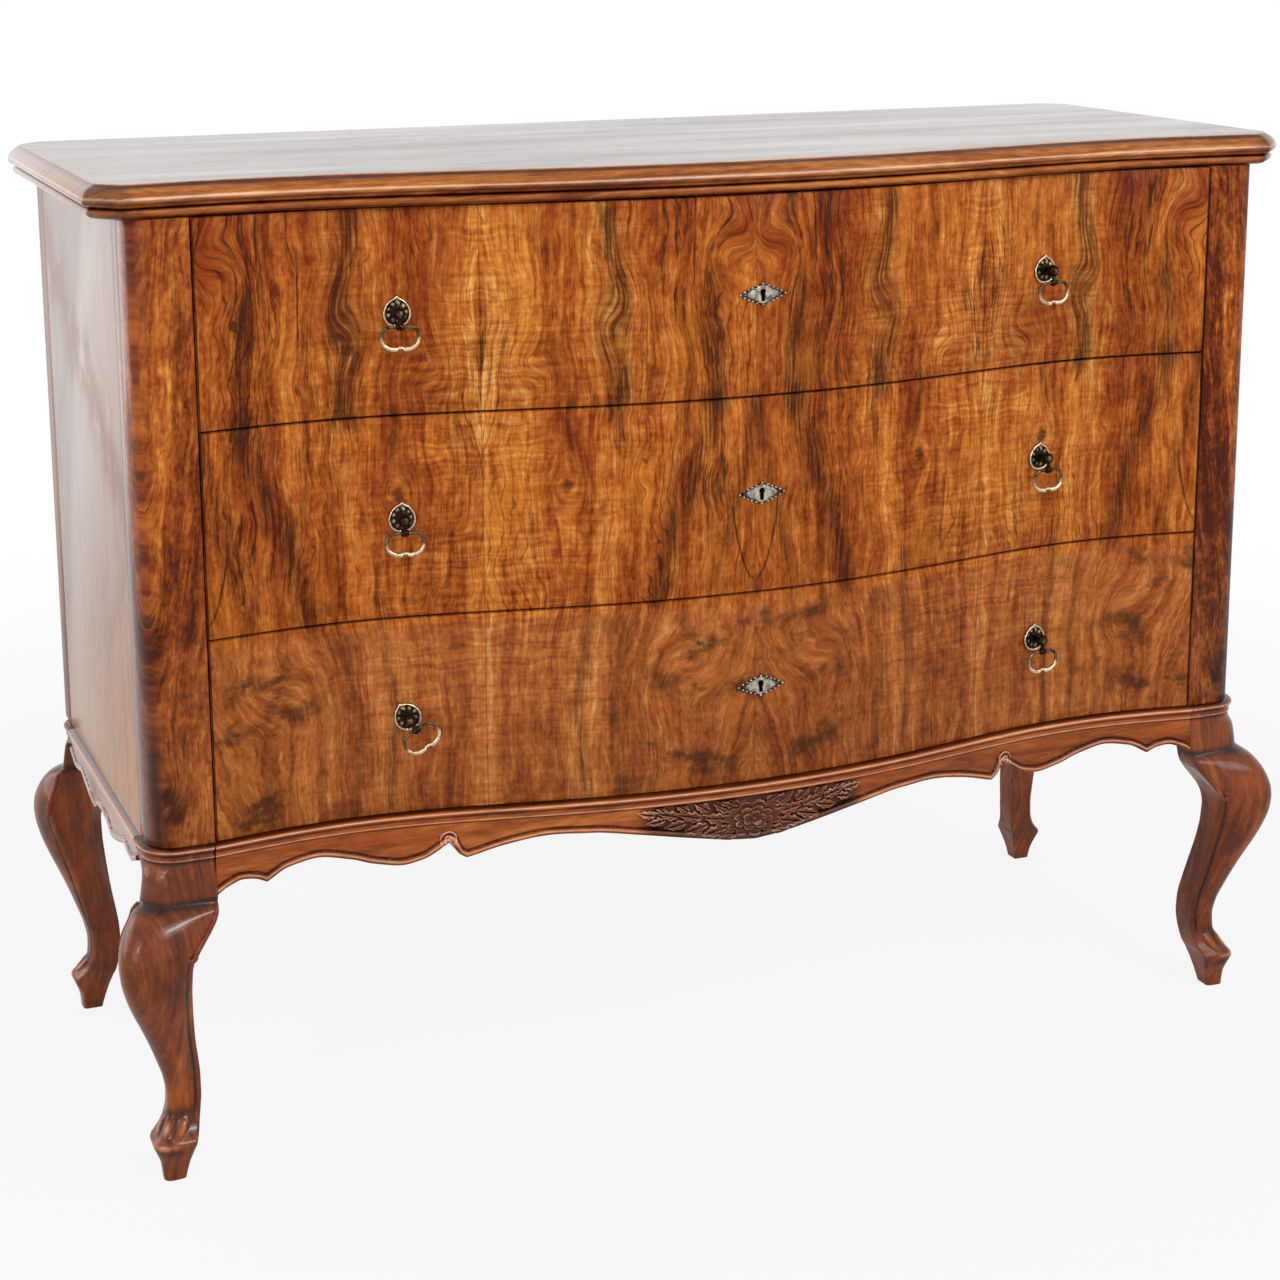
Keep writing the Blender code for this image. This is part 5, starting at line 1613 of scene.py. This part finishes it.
# Rings of a key plate from the keyhole out: share of the way to the rim, height, wear
key_plate_rings = [
    (0.0, 0.0, -0.6), (0.0, 0.0009, -0.6), (0.04, 0.0012, 0.0), (0.10, 0.0013, 0.25),
    (0.3, 0.0013, 0.22), (0.6, 0.00115, 0.15), (0.76, 0.00095, -0.10), (0.85, 0.0007, -0.8),
    (0.90, 0.0009, -0.45), (0.96, 0.0010, -0.3), (1.0, 0.0008, -0.5), (1.0, 0.0, -0.6),
]
key_outline_steps = 160
bead_count = 20
bead_inset_share = 0.955
bead_lift = 0.0010
pin_half_spacing = 0.0165
screw_inset = 0.006
nail_inset = 0.012
nails_across = 15
nails_up = 8


def make_lock_screws(name):
    low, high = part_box(f"{name}_lock_case")
    corners = [(x, high[1], z) for x in (low[0] + screw_inset, high[0] - screw_inset)
               for z in (low[2] + screw_inset, high[2] - screw_inset)]
    screws = domes_at(f"{name}_lock_screws", corners, 1, 0.0026, 0.35, iron)
    adopt(f"{name}_lock_screws", screws, f"{name}_drawer", "lock_iron", iron)


def make_escutcheons():
    """Key plate of each drawer, with the small beads round its rim and its two pins."""
    turns = spread(0, 2 * pi, key_outline_steps + 1)[:-1]
    face = float(serpentine(0)) - plan_shift - plate_gap
    hole = np.array([(keyhole_reach(turn) * cos(turn), keyhole_reach(turn) * sin(turn)) for turn in turns])
    rim = np.array([escutcheon_reach(turn) for turn in turns])
    for name in drawer_names:
        key_z = row_middles[name] + key_lift
        rings, wear_and_painted_light = [], []
        for share, height, level in key_plate_rings:
            line = hole * (1 - share) + rim * share
            rings.append([(key_x + float(x), face - height, key_z + float(z)) for x, z in line])
            wear_and_painted_light.append([level] * len(line))
        plate = ring_solid(f"{name}_keyhole_plate", rings, 45, wear_and_painted_light, loop=True)
        around = [escutcheon_reach(2 * pi * index / bead_count, 0.0) for index in range(bead_count)]
        points = [(key_x + x * bead_inset_share, face - bead_lift, key_z + z * bead_inset_share)
                  for x, z in around]
        beads = domes_at(f"{name}_rim_beads", points, -1, 0.0011, 0.7, nickel)
        points = [(key_x + sign * pin_half_spacing, face - bead_lift, key_z) for sign in (-1, 1)]
        pins = domes_at(f"{name}_pins", points, -1, 0.0013, 0.6, nickel)
        parts = [plate, worn(beads, 0.25), worn(pins, -0.3)]
        adopt(f"{name}_keyhole_plate", joined(f"{name}_keyhole_plate", parts, nickel),
              f"{name}_drawer", "worn_nickel", nickel, f"{name}_escutcheon")
        make_lock_screws(name)


def make_nails():
    """Nails that hold the back panel, in rows along its edges."""
    low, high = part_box("back_panel")
    sides = (low[0] + nail_inset, high[0] - nail_inset)
    ends = (low[2] + nail_inset, high[2] - nail_inset)
    points = [(x, high[1], z) for x in spread(*sides, nails_across) for z in ends]
    points += [(x, high[1], z) for z in spread(*ends, nails_up)[1:-1] for x in sides]
    nails = domes_at("back_nails", points, 1, 0.0030, 0.25, iron)
    adopt("back_nails", nails, "carcase", "lock_iron", iron)


make_top()
make_aprons()
make_legs()
make_case()
make_pulls()
make_escutcheons()
make_nails()


# Floor, light and camera

plain_white = (1, 1, 1, 1)
floor_grey = (0.80, 0.80, 0.80, 1)
floor_reach = 14.0
floor_glow = 0.86
floor_shine = 0.30
# Kinds of ray that see the floor glow: from where to where it rises to white, and its level near the chest
floor_rays = [("Is Camera Ray", 0.9, 2.6, floor_glow), ("Is Transmission Ray", 0.9, 2.6, floor_glow),
              ("Is Glossy Ray", 1.0, 4.2, floor_shine)]
world_strength = 0.45
# Lamps: name, place, aim, width, height, watts
lamps = [
    ("key_softbox", (1.6, -3.2, 2.9), (0.0, 0.0, 0.5), 2.4, 1.6, 40),
    ("small_key_softbox", (1.05, -3.4, 2.8), (0.0, 0.0, 0.4), 0.9, 0.45, 21),
    ("fill_softbox", (-3.0, -2.0, 1.9), (0.0, 0.0, 0.5), 2.0, 1.8, 19),
    ("small_fill_softbox", (-2.7, -2.2, 2.0), (-0.3, 0.0, 0.4), 0.5, 0.5, 7),
    ("back_softbox", (0.8, 4.2, 1.9), (0.0, 0.0, 0.8), 5.0, 2.4, 3),
    ("side_softbox", (-3.6, 2.4, 1.5), (-0.4, 0.0, 0.6), 3.2, 2.4, 45),
]
photo_width = 1280
focal_pixels = 2595.9
centre_column = 650.43
centre_row = 474.89
sensor_width = 36.0
camera_place = (-1.0164, -2.46685, 1.1841)
camera_azimuth = radians(-22.282)
camera_elevation = radians(12.624)
camera_roll = radians(-0.21)


def cleared_tree(owner):
    """Empty node tree of a material or a world."""
    owner.use_nodes = True
    owner.node_tree.nodes.clear()
    return owner.node_tree


def make_stage():
    """Pale floor that turns plain white away from the chest."""
    mesh = bpy.data.meshes.new("studio_floor")
    corners = [(x * floor_reach, y * floor_reach, 0) for x, y in ((-1, -1), (1, -1), (1, 1), (-1, 1))]
    mesh.from_pydata(corners, [], [(0, 1, 2, 3)])
    floor = stood("studio_floor", mesh)
    paper = bpy.data.materials.new("studio_paper")
    tree = cleared_tree(paper)
    place = put(tree, "ShaderNodeTexCoord")
    length = put(tree, "ShaderNodeVectorMath", {0: place.outputs["Object"]}, operation="LENGTH")
    seen = put(tree, "ShaderNodeLightPath")
    level = None
    for ray, near, far, low in floor_rays:
        fall = put(tree, "ShaderNodeMapRange", {
            "Value": length.outputs["Value"], "From Min": near, "From Max": far, "To Min": low},
            interpolation_type="SMOOTHSTEP")
        share = put(tree, "ShaderNodeMath", {0: fall.outputs["Result"], 1: seen.outputs[ray]},
                    operation="MULTIPLY")
        if level is not None:
            share = put(tree, "ShaderNodeMath", {0: level.outputs[0], 1: share.outputs[0]}, operation="ADD")
        level = share
    matte = put(tree, "ShaderNodeBsdfDiffuse", {"Color": floor_grey})
    glow = put(tree, "ShaderNodeEmission", {"Color": plain_white})
    blend = put(tree, "ShaderNodeMixShader", {0: level.outputs[0], 1: matte.outputs[0], 2: glow.outputs[0]})
    put(tree, "ShaderNodeOutputMaterial", {0: blend.outputs[0]})
    mesh.materials.append(paper)


def make_light():
    """Soft white world, plain white where it is seen or mirrored, and six soft lamps."""
    world = bpy.data.worlds.new("studio_world")
    bpy.context.scene.world = world
    tree = cleared_tree(world)
    rays = put(tree, "ShaderNodeLightPath")
    seen = rays.outputs["Is Camera Ray"]
    for ray in ("Is Glossy Ray", "Is Transmission Ray"):
        seen = put(tree, "ShaderNodeMath", {0: seen, 1: rays.outputs[ray]}, operation="MAXIMUM").outputs[0]
    dim = put(tree, "ShaderNodeBackground", {"Color": plain_white, "Strength": world_strength})
    bright = put(tree, "ShaderNodeBackground", {"Color": plain_white, "Strength": 1.0})
    blend = put(tree, "ShaderNodeMixShader", {0: seen, 1: dim.outputs[0], 2: bright.outputs[0]})
    put(tree, "ShaderNodeOutputWorld", {0: blend.outputs[0]})
    for name, place, aim, width, height, watts in lamps:
        lamp = bpy.data.lights.new(name, "AREA")
        lamp.shape = "RECTANGLE"
        lamp.size = width
        lamp.size_y = height
        lamp.energy = watts
        stand = stood(name, lamp)
        stand.location = place
        way = Vector(aim) - Vector(place)
        stand.rotation_euler = way.to_track_quat("-Z", "Y").to_euler()
        stand.visible_camera = False


def make_camera():
    """Camera that sees the chest as the photograph does."""
    camera = bpy.data.cameras.new("photo_camera")
    camera.sensor_fit = "HORIZONTAL"
    camera.sensor_width = sensor_width
    camera.lens = sensor_width * focal_pixels / photo_width
    camera.shift_x = -(centre_column - photo_width / 2) / photo_width
    camera.shift_y = -(photo_width / 2 - centre_row) / photo_width
    camera.clip_start = 0.05
    camera.clip_end = 100
    stand = stood("photo_camera", camera)
    turn = Matrix.Rotation(camera_azimuth, 4, "Z") @ Matrix.Rotation(pi / 2 - camera_elevation, 4, "X")
    turn = turn @ Matrix.Rotation(camera_roll, 4, "Z")
    stand.matrix_world = Matrix.Translation(camera_place) @ turn
    bpy.context.scene.camera = stand


make_stage()
make_light()
make_camera()
bpy.context.scene.view_settings.view_transform = "Standard"
